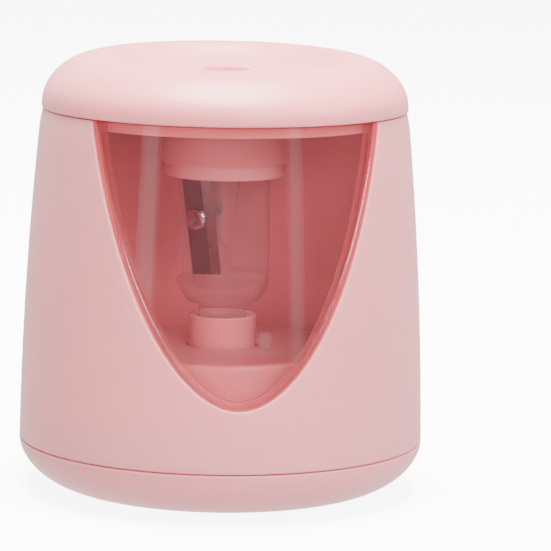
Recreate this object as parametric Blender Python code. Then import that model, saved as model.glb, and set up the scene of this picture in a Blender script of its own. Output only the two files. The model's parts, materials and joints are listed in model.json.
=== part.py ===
"""Electric pencil sharpener, modelled as an assembly of separate pieces.

Lengths in this file are millimetres; build_mesh() turns them into Blender's metres.
The origin is the centre of the underside, +Z is up and the window faces -Y.
"""

import math

import bmesh
import bpy
from mathutils import Matrix, Vector

MM = 0.001
GAP = 0.3                       # play left between neighbouring pieces
ROUND = 36                      # segments round the large turned pieces
SMALL = 16                      # segments round bosses and small pieces
TINY = 10                       # segments round screws and pins

# Outer form
BASE_BOTTOM_Z = 0.4
BASE_BOTTOM_R = 30.0
BASE_SEAM_Z = 10.7
LID_SEAM_Z = 81.0
SEAM_R = 43.0                   # widest radius, at the base seam
WAIST_R = 41.69                 # body radius half way up
LID_R = 38.81                   # radius at the lid seam
CREST_R = 23.93
CREST_Z = 92.98
BASE_POWER = 1.80
LID_POWER = 2.13
WALL = 1.8

# Window
WINDOW_APEX_Z = 23.7
WINDOW_TOP_Z = 81.2
WINDOW_HALF_ANGLE = 49.9        # degrees either side of the front, at the top
WINDOW_POWER = 0.52
FLANGE_TOP_Z = 77.6

# Inside
FLOOR_Z = 2.8                   # top of the base cover's floor
DECK_Z = 17.2                   # underside of the shavings tray
DECK_THICK = 1.4
PLATFORM_Z = 30.4
PLATFORM_R = 27.0
CUP_R = 7.2
PLATE_Z = 20.6
PLATE_THICK = 1.6

# Collar and pencil way
TUBE_R = 13.7
TUBE_BOTTOM_Z = 69.9
BUSH_R = 12.6
BUSH_BOTTOM_Z = 66.9
PENCIL_HOLE_R = 5.2
GUIDE_BORE_R = 4.3
DISH_Z = 89.5

# Cutter
CUTTER_TURN = -33.0             # degrees the blade face is turned from the front
BLOCK_R = 9.8
BLOCK_BOTTOM_Z = 43.4
BLOCK_TOP_Z = 72.4
CONE_TIP_Z = 52.0
CONE_TOP_Z = 70.3
CONE_TIP_R = 1.35
CONE_TOP_R = 4.15
BLADE_LENGTH = 24.0
BLADE_WIDTH = 6.6
BLADE_THICK = 0.6
BLADE_BEVEL = 2.0               # width ground off towards the cutting edge
BLADE_MID_Z = 57.5
BLADE_SKEW = -3.4               # degrees the cutting edge leans within the blade face
SCREW_OFFSET = -4.5

# Gear train
MODULE = 0.6
PRESSURE_ANGLE = math.radians(20.0)
BACKLASH = 0.12
PINION_TEETH = 10
WHEEL_TEETH = 34
IDLER_TEETH = 12
SPINDLE_TEETH = 32
PINION_SHIFT = 0.38
GEAR_CENTRES = MODULE * (PINION_TEETH + WHEEL_TEETH) / 2
MOTOR_Y = 15.0
IDLER_X = math.sqrt(GEAR_CENTRES ** 2 - (MOTOR_Y / 2) ** 2)
IDLER_Y = MOTOR_Y / 2
MOTOR_R = 10.05
MOTOR_FLAT = 7.55

# Fasteners and supports, as (distance from the axis, angle in degrees)
BASE_SCREW_R = 31.5
BASE_SCREW_ANGLES = (-20.0, 200.0, 35.0, 145.0)
PLATE_SCREW_R = 22.0
PLATE_SCREW_ANGLES = (155.0, 245.0, 335.0)
FOOT_R = 24.0
FOOT_ANGLES = (45.0, 135.0, 225.0, 315.0)
BOARD_POST = (9.5, 28.5)
CELL_R = 5.15
CELL_HALF = 22.0
CELL_Y = -19.0
CELL_Z = 9.9
SOCKET_Z = 14.1
LENS_X, LENS_Y = 8.8, -4.6
LENS_TOP_Z = 33.8


# ---------------------------------------------------------------- helpers

def clear_scene():
    for obj in list(bpy.data.objects):
        bpy.data.objects.remove(obj, do_unlink=True)


def make_material(name, colour, roughness, metallic=0.0, transmission=0.0):
    material = bpy.data.materials.new(name)
    material.use_nodes = True
    shader = material.node_tree.nodes["Principled BSDF"]
    shader.inputs["Base Color"].default_value = (*colour, 1.0)
    shader.inputs["Roughness"].default_value = roughness
    shader.inputs["Metallic"].default_value = metallic
    shader.inputs["Transmission Weight"].default_value = transmission
    material.diffuse_color = (*colour, 1.0)
    return material


def make_pivot(name, x=0.0, y=0.0, z=0.0):
    pivot = bpy.data.objects.new(name, None)
    pivot.location = Vector((x, y, z)) * MM
    bpy.context.collection.objects.link(pivot)
    return pivot


def build_mesh(name, verts, faces, pivot=None):
    """An object from millimetre points in the part's frame, hung on a pivot empty if one is given."""
    origin = pivot.location if pivot else Vector((0.0, 0.0, 0.0))
    bm = bmesh.new()
    points = [bm.verts.new(Vector(co) * MM - origin) for co in verts]
    for face in faces:
        bm.faces.new([points[i] for i in face])
    bmesh.ops.recalc_face_normals(bm, faces=bm.faces)
    mesh = bpy.data.meshes.new(name)
    bm.to_mesh(mesh)
    bm.free()
    obj = bpy.data.objects.new(name, mesh)
    bpy.context.collection.objects.link(obj)
    if pivot:
        obj.parent = pivot
    return obj


def finish(obj, material, crease=35.0):
    obj.data.materials.append(material)
    obj.data.shade_smooth()
    obj.data.set_sharp_from_angle(angle=math.radians(crease))
    return obj


def place(verts, x=0.0, y=0.0, z=0.0, turn=0.0):
    """Turn points about Z by degrees, then move them."""
    spin = Matrix.Rotation(math.radians(turn), 4, "Z")
    return [spin @ Vector(co) + Vector((x, y, z)) for co in verts]


def polar(radius, degrees):
    return radius * math.cos(math.radians(degrees)), radius * math.sin(math.radians(degrees))


def turned(profile, segments=ROUND):
    """Closed solid of revolution from a closed (radius, height) outline; points on the axis become poles."""
    verts, rings = [], []
    for radius, height in profile:
        if radius < 1e-6:
            rings.append([len(verts)])
            verts.append((0.0, 0.0, height))
        else:
            rings.append(list(range(len(verts), len(verts) + segments)))
            for i in range(segments):
                angle = 2 * math.pi * i / segments
                verts.append((radius * math.cos(angle), radius * math.sin(angle), height))
    faces = []
    for low, high in zip(rings, rings[1:] + rings[:1]):
        if len(low) == 1 and len(high) == 1:
            continue
        for i in range(segments):
            j = (i + 1) % segments
            if len(low) == 1:
                faces.append((low[0], high[j], high[i]))
            elif len(high) == 1:
                faces.append((low[i], low[j], high[0]))
            else:
                faces.append((low[i], low[j], high[j], high[i]))
    return verts, faces


def prism(outline, low, high):
    """Solid between two heights over a plan outline."""
    count = len(outline)
    verts = [(x, y, low) for x, y in outline] + [(x, y, high) for x, y in outline]
    faces = [tuple(range(count)), tuple(range(count, 2 * count))]
    faces += [(i, (i + 1) % count, count + (i + 1) % count, count + i) for i in range(count)]
    return verts, faces


def circle(radius, segments, phase=0.0):
    step = 2 * math.pi / segments
    angles = [phase + i * step for i in range(segments)]
    return [(radius * math.cos(a), radius * math.sin(a)) for a in angles]


def disc(radius, low, high, x=0.0, y=0.0, segments=SMALL):
    verts, faces = prism(circle(radius, segments), low, high)
    return place(verts, x, y), faces


def block(x0, x1, y0, y1, z0, z1):
    return prism([(x0, y0), (x1, y0), (x1, y1), (x0, y1)], z0, z1)


def cross_outline(arm, half):
    """Plus-shaped outline of a screwdriver recess: arm length and half the slot's width."""
    quarter = [(arm, -half), (arm, half), (half, half)]
    outline = []
    for _ in range(4):
        outline += quarter
        quarter = [(-y, x) for x, y in quarter]
    return outline


def flat_circle(radius, flat, segments=SMALL):
    """Circle with two flats, at -flat and +flat along Y."""
    return [(x, max(-flat, min(flat, y))) for x, y in circle(radius, segments, math.pi / segments)]


def gather(*solids):
    """Several solids that don't touch, as one list of points and faces."""
    verts, faces = [], []
    for solid_verts, solid_faces in solids:
        start = len(verts)
        verts += list(solid_verts)
        faces += [tuple(start + i for i in face) for face in solid_faces]
    return verts, faces


def apply_boolean(obj, solid, operation):
    tool = build_mesh(obj.name + "_" + operation.lower(), *solid)
    tool.hide_render = True
    tool.display_type = "WIRE"
    tool.hide_set(True)
    modifier = obj.modifiers.new(operation.title(), "BOOLEAN")
    modifier.operation = operation
    modifier.solver = "EXACT"
    modifier.object = tool


def cut(obj, *solids):
    apply_boolean(obj, gather(*solids), "DIFFERENCE")


def join(obj, *solids):
    apply_boolean(obj, gather(*solids), "UNION")


def tube_along(name, points, radius, pivot=None):
    """Round wire through millimetre points, with filled ends."""
    origin = pivot.location if pivot else Vector((0.0, 0.0, 0.0))
    curve = bpy.data.curves.new(name, "CURVE")
    curve.dimensions = "3D"
    curve.bevel_depth = radius * MM
    curve.bevel_resolution = 1
    curve.use_fill_caps = True
    spline = curve.splines.new("POLY")
    spline.points.add(len(points) - 1)
    for target, co in zip(spline.points, points):
        target.co = (*(Vector(co) * MM - origin), 1.0)
    obj = bpy.data.objects.new(name, curve)
    bpy.context.collection.objects.link(obj)
    if pivot:
        obj.parent = pivot
    return obj


def smooth_route(points, steps=5):
    """Points along a Catmull-Rom curve through the given ones."""
    nodes = [Vector(p) for p in points]
    nodes = [2 * nodes[0] - nodes[1]] + nodes + [2 * nodes[-1] - nodes[-2]]
    route = []
    for a, b, c, d in zip(nodes, nodes[1:], nodes[2:], nodes[3:]):
        for i in range(steps):
            t = i / steps
            route.append(0.5 * (2 * b + (c - a) * t + (2 * a - 5 * b + 4 * c - d) * t ** 2
                                + (3 * b - a - 3 * c + d) * t ** 3))
    return route + [nodes[-2]]


# ---------------------------------------------------------------- outer form

def body_radius(height):
    """Outer radius of the body wall: a parabola through the two seams and the waist."""
    u = (height - BASE_SEAM_Z) / (LID_SEAM_Z - BASE_SEAM_Z)
    return SEAM_R * (1 - u) * (1 - 2 * u) + 4 * u * (1 - u) * WAIST_R + LID_R * u * (2 * u - 1)


def base_curve(steps, inset=0.0):
    """Rounded lower edge of the base, bottom to seam."""
    top = BASE_SEAM_Z - GAP / 2
    curve = []
    for i in range(steps + 1):
        a = math.pi / 2 * i / steps
        radius = BASE_BOTTOM_R + (SEAM_R - BASE_BOTTOM_R) * math.sin(a) ** (2 / BASE_POWER)
        height = BASE_BOTTOM_Z + (top - BASE_BOTTOM_Z) * (1 - math.cos(a) ** (2 / BASE_POWER))
        curve.append((radius - inset, height))
    return curve


def lid_curve(steps, inset=0.0):
    """Rounded shoulder of the lid, seam to crest."""
    low = LID_SEAM_Z + GAP / 2
    curve = []
    for i in range(steps + 1):
        a = math.pi / 2 * i / steps
        radius = CREST_R + (LID_R - CREST_R) * math.cos(a) ** (2 / LID_POWER)
        height = low + (CREST_Z - low) * math.sin(a) ** (2 / LID_POWER)
        nx, nz = math.cos(a), math.sin(a)
        curve.append((radius - inset * nx, height - inset * nz))
    return curve


def dish_curve(steps, drop=0.0):
    """Shallow dish from the crest in to the pencil hole."""
    curve = []
    for i in range(1, steps + 1):
        t = i / steps
        radius = CREST_R + (PENCIL_HOLE_R + 0.5 - CREST_R) * t
        height = CREST_Z - (CREST_Z - DISH_Z) * (1 - math.cos(math.pi * t)) / 2
        curve.append((radius, height - drop))
    return curve


def window_half_angle(height):
    share = max(0.0, (height - WINDOW_APEX_Z) / (WINDOW_TOP_Z - WINDOW_APEX_Z))
    return WINDOW_HALF_ANGLE * share ** WINDOW_POWER


def window_rows(top, count=9):
    """Heights of the window's rows, closer together near its apex."""
    full = LID_SEAM_Z - GAP / 2
    rows = [WINDOW_APEX_Z + (full - WINDOW_APEX_Z) * (i / count) ** 1.8 for i in range(count + 1)]
    return [z for z in rows if z < top - 0.5] + [top] if top < full else sorted({*rows, top})


def window_edge(height, shrink, last):
    """Half width (along the wall) and height of the outline at a row, drawn in by shrink mm."""
    if height <= WINDOW_APEX_Z:
        return 0.0, height + shrink
    half = math.radians(window_half_angle(height)) * body_radius(height)
    slope = WINDOW_POWER * half / (height - WINDOW_APEX_Z)
    length = math.hypot(1.0, slope)
    if last:
        return half - shrink * length, height
    return half - shrink / length, height + shrink * slope / length


def window_patch(top, inner, outer, shrink=0.0, columns=8):
    """Solid behind the window outline, between two radius functions of height.

    shrink is the distance in mm that the outline is drawn in by, negative to let it out.
    """
    heights = window_rows(top)
    rows = len(heights) - 1
    verts, layers = [], []
    for radius_at in (outer, inner):
        layer = []
        for i, row_height in enumerate(heights):
            half, height = window_edge(row_height, shrink, i == rows)
            half /= body_radius(height)
            row = []
            for j in range(columns + 1 if i else 1):
                angle = half * (2 * j / columns - 1) if i else 0.0
                radius = radius_at(height)
                row.append(len(verts))
                verts.append((radius * math.sin(angle), -radius * math.cos(angle), height))
            layer.append(row if i else row * (columns + 1))
        layers.append(layer)
    faces = []
    for layer in layers:
        for low, high in zip(layer, layer[1:]):
            for j in range(columns):
                quad = (low[j], low[j + 1], high[j + 1], high[j])
                faces.append(tuple(dict.fromkeys(quad)))
    front, back = layers
    for i in range(rows):
        for j in (0, columns):
            faces.append((front[i][j], front[i + 1][j], back[i + 1][j], back[i][j]))
    for j in range(columns):
        faces.append((front[-1][j], front[-1][j + 1], back[-1][j + 1], back[-1][j]))
    return verts, faces


# ---------------------------------------------------------------- housing

def make_base_cover(material):
    outer = base_curve(6)
    top = BASE_SEAM_Z - GAP / 2
    lip_outer, lip_inner, lip_top = 40.8, 39.2, 13.0
    inner = [(radius, max(height + 1.6, FLOOR_Z)) for radius, height in reversed(base_curve(5, WALL)[1:-1])]
    profile = [(0.0, BASE_BOTTOM_Z), *outer, (lip_outer, top), (lip_outer, lip_top), (lip_inner, lip_top)]
    profile += [(min(radius, lip_inner), height) for radius, height in inner] + [(0.0, FLOOR_Z)]
    base = build_mesh("base_cover", *turned(profile))
    posts = [disc(4.0, 1.6, 9.0, *polar(BASE_SCREW_R, a), segments=12) for a in BASE_SCREW_ANGLES]
    posts += [disc(2.2, 1.6, 9.7, side * BOARD_POST[0], BOARD_POST[1], 12) for side in (-1, 1)]
    posts.append(disc(4.4, 1.6, 6.2))
    posts.append(block(-7.0, 7.0, -11.7, -5.3, 1.6, 3.7))
    join(base, *posts)
    holes = [disc(4.8, -1.0, 1.9, *polar(FOOT_R, a)) for a in FOOT_ANGLES]
    holes += [stepped_hole(*polar(BASE_SCREW_R, a)) for a in BASE_SCREW_ANGLES]
    holes += [disc(1.2, 4.5, 12.0, side * BOARD_POST[0], BOARD_POST[1], TINY) for side in (-1, 1)]
    holes.append(disc(2.0, 3.6, 8.0))
    holes.append(block(-5.4, 5.4, 37.6, 41.6, 10.9, 14.0))
    cut(base, *holes)
    return finish(base, material)


def stepped_hole(x, y):
    """Screw way from below: a wide counterbore, then a clearance hole."""
    profile = [(0.0, -1.0), (2.9, -1.0), (2.9, 6.4), (1.5, 6.4), (1.5, 10.0), (0.0, 10.0)]
    verts, faces = turned(profile, 16)
    return place(verts, x, y), faces


def make_body_shell(material):
    low, high = BASE_SEAM_Z + GAP / 2, LID_SEAM_Z - GAP / 2
    heights = [low + (high - low) * i / 4 for i in range(5)]
    outer = [(body_radius(z), z) for z in heights]
    ledge = [(body_radius(z) - WALL - inset, z)
             for z, inset in ((16.9, 0.0), (16.9, 1.6), (15.9, 1.6), (14.6, 0.0))]
    inner = [(body_radius(z) - WALL, z) for z in reversed(heights[1:])]
    inner += [*ledge, (body_radius(low) - WALL, low)]
    shell = build_mesh("body_shell", *turned(outer + inner))
    ledge_gap = block(-6.5, 6.5, 34.0, 40.5, 13.0, 17.6)
    socket_hole = disc(2.4, 30.0, 50.0)
    socket_hole = ([(x, z, y + SOCKET_Z) for x, y, z in socket_hole[0]], socket_hole[1])
    opening = window_patch(LID_SEAM_Z + 5, lambda z: body_radius(z) - WALL - 1.0,
                           lambda z: body_radius(z) + 1.0)
    cut(shell, opening, ledge_gap)
    cut(shell, socket_hole)
    return finish(shell, material)


def make_window_panel(material):
    top = LID_SEAM_Z - GAP / 2
    flange_outer = WALL + GAP
    flange_inner = flange_outer + 1.0
    pane = window_patch(top, lambda z: body_radius(z) - flange_inner + 0.3, lambda z: body_radius(z), GAP)
    flange = window_patch(FLANGE_TOP_Z, lambda z: body_radius(z) - flange_inner,
                          lambda z: body_radius(z) - flange_outer, -1.6)
    panel = build_mesh("window_panel", *pane)
    join(panel, flange)
    return finish(panel, material)


def make_motor_deck(material):
    outer = body_radius(DECK_Z) - WALL - GAP
    tray_top = DECK_Z + DECK_THICK
    under = PLATFORM_Z - WALL
    edge = [(PLATFORM_R - 0.8 + 0.8 * math.cos(a), PLATFORM_Z - 0.8 + 0.8 * math.sin(a))
            for a in (0.0, math.pi / 6, math.pi / 3, math.pi / 2)]
    profile = [(PLATFORM_R - WALL, DECK_Z), (outer, DECK_Z), (outer, tray_top), (PLATFORM_R + 1.0, tray_top),
               (PLATFORM_R, tray_top + 1.0), *edge, (CUP_R + GAP, PLATFORM_Z), (CUP_R + GAP, under),
               (PLATFORM_R - WALL, under)]
    deck = build_mesh("motor_deck", *turned(profile))
    posts = [disc(3.0, 9.3, DECK_Z + 0.7, *polar(BASE_SCREW_R, a), segments=12) for a in BASE_SCREW_ANGLES]
    posts += [disc(2.4, PLATE_Z + PLATE_THICK + GAP, under + 0.7, *polar(PLATE_SCREW_R, a), segments=16)
              for a in PLATE_SCREW_ANGLES]
    join(deck, *posts)
    holes = [disc(1.5, 5.0, 16.6, *polar(BASE_SCREW_R, a), segments=TINY) for a in BASE_SCREW_ANGLES]
    holes += [disc(1.2, 15.0, 28.0, *polar(PLATE_SCREW_R, a), segments=TINY) for a in PLATE_SCREW_ANGLES]
    holes.append(disc(1.8, under - 2.0, PLATFORM_Z + 2.0, LENS_X, LENS_Y, TINY))
    cut(deck, *holes)
    return finish(deck, material)


def make_feet(material):
    solid = turned([(0.0, 0.0), (4.1, 0.0), (4.5, 0.4), (4.5, 1.6), (0.0, 1.6)], SMALL)
    for number, angle in enumerate(FOOT_ANGLES, 1):
        foot = build_mesh(f"foot_{number}", place(solid[0], *polar(FOOT_R, angle)), solid[1])
        finish(foot, material)


def screw_profile(head_r, head_z, seat_z, shank_r, tip_z, countersunk=False):
    """Turned screw outline; the head may be above or below its seat."""
    step = 0.35 if head_z > seat_z else -0.35
    pan = [(head_r - 0.45, head_z), (head_r, head_z - step), (head_r, seat_z)]
    rim = [(head_r, head_z)] if countersunk else pan
    point = shank_r * 0.8 * (1 if tip_z > seat_z else -1)
    return [(0.0, head_z), *rim, (shank_r, seat_z), (shank_r, tip_z - point), (0.3, tip_z), (0.0, tip_z)]


def make_screw(name, x, y, profile, material, recessed=False):
    verts, faces = turned(profile, TINY)
    screw = build_mesh(name, place(verts, x, y), faces)
    if recessed:
        cut_recess(screw, x, y, profile)
    return finish(screw, material)


def cut_recess(screw, x, y, profile):
    head_z, head_r = profile[0][1], max(r for r, _ in profile)
    depth = 0.7 if head_z < profile[-1][1] else -0.7
    low, high = sorted((head_z + depth, head_z - depth))
    recess = prism(cross_outline(head_r * 0.55, 0.28), low, high)
    cut(screw, (place(recess[0], x, y), recess[1]))


def make_base_screws(material):
    profile = screw_profile(2.5, 4.6, 6.1, 1.2, 15.6)
    for number, angle in enumerate(BASE_SCREW_ANGLES, 1):
        make_screw(f"base_screw_{number}", *polar(BASE_SCREW_R, angle), profile, material, recessed=True)


# ---------------------------------------------------------------- lid and pencil way

def make_lid(material, pivot):
    skirt_outer, skirt_inner, skirt_bottom = 35.2, 33.8, 78.4
    under = lid_curve(5, WALL)
    roof = [(r, z) for r, z in under if r > skirt_outer + 0.2]
    inside = [(r, z) for r, z in under if TUBE_R + 1.0 < r < skirt_inner - 0.2]
    dish = dish_curve(5)
    belly = [(r, z - WALL) for r, z in dish if r > TUBE_R + 1.0]
    belly_low = DISH_Z - WALL
    skirt_join = [z for r, z in under if r > skirt_inner][-1]
    profile = [*lid_curve(6), *dish, (PENCIL_HOLE_R, DISH_Z - 0.4), (PENCIL_HOLE_R, belly_low),
               (TUBE_R - 0.8, belly_low), (TUBE_R - 0.8, TUBE_BOTTOM_Z), (TUBE_R, TUBE_BOTTOM_Z),
               (TUBE_R, belly_low + 0.6), *reversed(belly), *reversed(inside),
               (skirt_inner, skirt_join), (skirt_inner, skirt_bottom), (skirt_outer, skirt_bottom),
               (skirt_outer, skirt_join - 1.2), *reversed(roof)]
    lid = build_mesh("lid", *turned(profile), pivot)
    return finish(lid, material)


def make_guide_bush(material, pivot):
    top = DISH_Z - WALL - GAP
    web, core_r, boss_r, boss_top = 75.2, 7.2, 5.8, 78.9
    profile = [(BUSH_R, BUSH_BOTTOM_Z), (BUSH_R, top), (BUSH_R - 1.3, top), (BUSH_R - 1.3, web), (core_r, web),
               (core_r, top), (GUIDE_BORE_R + 0.6, top), (GUIDE_BORE_R, top - 0.6), (GUIDE_BORE_R, boss_top),
               (boss_r, boss_top), (boss_r, web - WALL), (BUSH_R - 1.4, web - WALL),
               (BUSH_R - 1.4, BUSH_BOTTOM_Z)]
    bush = build_mesh("guide_bush", *turned(profile, 32), pivot)
    return finish(bush, material)


# ---------------------------------------------------------------- cutter and spindle

def cone_radius(height):
    return CONE_TIP_R + (CONE_TOP_R - CONE_TIP_R) * (height - CONE_TIP_Z) / (CONE_TOP_Z - CONE_TIP_Z)


def cone_tilt():
    return math.atan2(CONE_TOP_R - CONE_TIP_R, CONE_TOP_Z - CONE_TIP_Z)


def face_frame(verts, lift=0.0):
    """Place points given on the blade face (x across, y out of the face, z up from mid blade)."""
    lean = Matrix.Rotation(cone_tilt(), 4, "X")
    origin = Vector((0.0, -cone_radius(BLADE_MID_Z), BLADE_MID_Z))
    placed = [lean @ Vector((x, -(y + lift), z)) + origin for x, y, z in verts]
    return place(placed, turn=CUTTER_TURN)


def make_cutter_body(material, pivot):
    profile = [(0.0, 33.4), (5.2, 33.4), (5.2, 39.6), (7.6, 40.0), (BLOCK_R, BLOCK_BOTTOM_Z),
               (BLOCK_R, BLOCK_TOP_Z), (5.45, BLOCK_TOP_Z), (5.45, 78.0), (CONE_TOP_R, 78.0),
               (CONE_TOP_R, CONE_TOP_Z), (CONE_TIP_R, CONE_TIP_Z), (0.0, CONE_TIP_Z - 0.6)]
    verts, faces = turned(profile, 32)
    body = build_mesh("cutter_body", place(verts, turn=CUTTER_TURN), faces, pivot)
    face = block(-14.0, 14.0, 0.0, 14.0, -12.6, 13.4)
    slot = block(0.9, 14.0, -3.4, 1.0, -11.2, 11.6)
    screw_way = turned([(0.0, -8.0), (1.5, -8.0), (1.5, 2.0), (0.0, 2.0)], TINY)
    screw_way = ([(x + SCREW_OFFSET, z, y) for x, y, z in screw_way[0]], screw_way[1])
    cut(body, (face_frame(face[0]), face[1]))
    cut(body, (face_frame(slot[0]), slot[1]), (face_frame(screw_way[0]), screw_way[1]))
    flats = gather(block(-8.0, 8.0, 4.2, 8.0, 32.0, 39.0), block(-8.0, 8.0, -8.0, -4.2, 32.0, 39.0))
    cut(body, (place(flats[0], turn=CUTTER_TURN), flats[1]))
    return finish(body, material)


def make_cutter_blade(material, pivot):
    half = BLADE_LENGTH / 2
    back, edge = -BLADE_WIDTH - 0.7, -0.7
    section = [(back, 0.0), (edge, 0.0), (edge, 0.12), (edge - BLADE_BEVEL, BLADE_THICK), (back, BLADE_THICK)]
    verts, faces = prism(section, -half, half)
    skew = Matrix.Rotation(math.radians(BLADE_SKEW), 4, "Y")
    skewed = [skew @ Vector(co) for co in verts]
    blade = build_mesh("cutter_blade", face_frame(skewed, GAP), faces, pivot)
    hole = turned([(0.0, -2.0), (1.5, -2.0), (1.5, 3.0), (0.0, 3.0)], TINY)
    hole = ([(x + SCREW_OFFSET, z, y) for x, y, z in hole[0]], hole[1])
    cut(blade, (face_frame(hole[0]), hole[1]))
    return finish(blade, material)


def make_blade_screw(material, pivot):
    seat = 2 * GAP + BLADE_THICK
    head = [(2.35 * math.cos(a), seat + 0.5 + 0.9 * math.sin(a)) for a in (0.0, 0.45, 0.9, 1.25)]
    profile = [(0.0, -7.4), (1.2, -7.0), (1.2, seat), (2.35, seat), *head, (0.0, seat + 1.4)]
    verts, faces = turned(profile, 16)
    upright = face_frame([(x + SCREW_OFFSET, z, y) for x, y, z in verts])
    screw = build_mesh("blade_screw", upright, faces, pivot)
    recess = prism(cross_outline(1.25, 0.3), seat + 0.55, seat + 2.0)
    cut(screw, (face_frame([(x + SCREW_OFFSET, z, y) for x, y, z in recess[0]]), recess[1]))
    return finish(screw, material)


def make_drive_cup(material, pivot):
    low, high, floor = PLATFORM_Z - 0.4, 37.0, 33.0
    profile = [(0.0, low), (CUP_R - 0.2, low), (CUP_R, low + 0.2), (CUP_R, high - 0.3), (CUP_R - 0.3, high),
               (6.2, high), (5.5, high - 1.0), (5.5, floor), (0.0, floor)]
    verts, faces = turned(profile, 28)
    cup = build_mesh("drive_cup", verts, faces, pivot)
    keys = gather(block(-3.3, 3.3, 4.5, 6.2, floor - 0.5, 35.6),
                  block(-3.3, 3.3, -6.2, -4.5, floor - 0.5, 35.6))
    join(cup, (place(keys[0], turn=CUTTER_TURN), keys[1]))
    cut(cup, block(-1.9, 1.9, -1.9, 1.9, 28.0, 34.0))
    return finish(cup, material)


def make_drive_shaft(material, pivot):
    verts, faces = turned([(0.0, 15.9), (1.35, 15.9), (1.55, 16.1), (1.55, 26.0), (0.0, 26.0)], 16)
    shaft = build_mesh("drive_shaft", verts, faces, pivot)
    join(shaft, block(-1.6, 1.6, -1.6, 1.6, 25.2, 32.7))
    return finish(shaft, material)


# ---------------------------------------------------------------- gear train

def involute(angle):
    return math.tan(angle) - angle


def gear_outline(teeth, shift, tooth_at):
    """Involute spur gear outline with a tooth centred on the angle tooth_at, in degrees."""
    pitch_r = MODULE * teeth / 2
    base_r = pitch_r * math.cos(PRESSURE_ANGLE)
    root_r = pitch_r - MODULE * (1.25 - shift)
    tip_r = pitch_r + MODULE * (1.0 + shift)
    half_pitch = (math.pi / 2 + 2 * shift * math.tan(PRESSURE_ANGLE)) / teeth - BACKLASH / (2 * pitch_r)

    def half_angle(radius):
        pressure = math.acos(min(1.0, base_r / max(radius, base_r)))
        return half_pitch + involute(PRESSURE_ANGLE) - involute(pressure)

    flank = [(r, half_angle(r)) for r in (root_r, tip_r)]
    outline = []
    for tooth in range(teeth):
        centre = math.radians(tooth_at) + 2 * math.pi * tooth / teeth
        for radius, half in flank:
            outline.append((radius * math.cos(centre - half), radius * math.sin(centre - half)))
        for radius, half in reversed(flank):
            outline.append((radius * math.cos(centre + half), radius * math.sin(centre + half)))
    return outline


def idler_direction():
    """Angle in degrees from the spindle to the compound gear."""
    return math.degrees(math.atan2(IDLER_Y, IDLER_X))


def motor_direction():
    """Angle in degrees from the compound gear to the motor."""
    return math.degrees(math.atan2(MOTOR_Y - IDLER_Y, -IDLER_X))


def make_spindle_gear(material, pivot):
    outline = gear_outline(SPINDLE_TEETH, -PINION_SHIFT, idler_direction())
    gear = build_mesh("spindle_gear", *prism(outline, 26.2, 28.0), pivot)
    cut(gear, block(-1.9, 1.9, -1.9, 1.9, 24.0, 30.0))
    return finish(gear, material)


def make_compound_gear(material, pivot):
    wheel = gear_outline(WHEEL_TEETH, -PINION_SHIFT, motor_direction())
    idler = gear_outline(IDLER_TEETH, PINION_SHIFT, idler_direction() + 180.0 + 180.0 / IDLER_TEETH)
    wheel_solid, idler_solid = prism(wheel, 22.8, 24.6), prism(idler, 24.2, 28.2)
    gear = build_mesh("compound_gear", place(wheel_solid[0], IDLER_X, IDLER_Y), wheel_solid[1], pivot)
    join(gear, (place(idler_solid[0], IDLER_X, IDLER_Y), idler_solid[1]))
    cut(gear, disc(1.3, 20.0, 30.0, IDLER_X, IDLER_Y, 16))
    return finish(gear, material)


def make_motor_pinion(material, pivot):
    outline = gear_outline(PINION_TEETH, PINION_SHIFT, motor_direction() + 180.0 + 180.0 / PINION_TEETH)
    solid = prism(outline, 22.6, 24.8)
    pinion = build_mesh("motor_pinion", place(solid[0], 0.0, MOTOR_Y), solid[1], pivot)
    cut(pinion, disc(1.3, 20.0, 30.0, 0.0, MOTOR_Y, 16))
    return finish(pinion, material)


def make_gear_axle(material):
    axle = build_mesh("gear_axle", *disc(1.0, 20.4, 28.3, IDLER_X, IDLER_Y, 16))
    return finish(axle, material)


def make_motor_shaft(material, pivot):
    shaft = build_mesh("motor_shaft", *disc(1.0, 12.4, 25.2, 0.0, MOTOR_Y, 16), pivot)
    return finish(shaft, material)


def make_gear_plate(material):
    plate = build_mesh("gear_plate", *disc(24.8, PLATE_Z, PLATE_Z + PLATE_THICK, segments=32))
    low, high = PLATE_Z - 2.0, PLATE_Z + PLATE_THICK + 2.0
    holes = [disc(3.5, low, high), disc(3.4, low, high, 0.0, MOTOR_Y),
             disc(1.3, low, high, IDLER_X, IDLER_Y, 16)]
    holes += [disc(1.4, low, high, *polar(PLATE_SCREW_R, a), segments=TINY) for a in PLATE_SCREW_ANGLES]
    for side in (-1, 1):
        sink = turned([(0.0, low), (1.3, low), (1.3, 21.0), (2.3, 22.3), (2.3, high), (0.0, high)], TINY)
        holes.append((place(sink[0], side * 8.0, MOTOR_Y), sink[1]))
    cut(plate, *holes)
    return finish(plate, material)


def make_spindle_bush(material):
    low, high = PLATE_Z, PLATE_Z + PLATE_THICK
    profile = [(1.9, low - 1.6), (4.4, low - 1.6), (4.4, low - GAP), (3.2, low - GAP), (3.2, high),
               (1.9, high)]
    return finish(build_mesh("spindle_bush", *turned(profile, SMALL)), material)


# ---------------------------------------------------------------- motor, press switch, power

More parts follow.
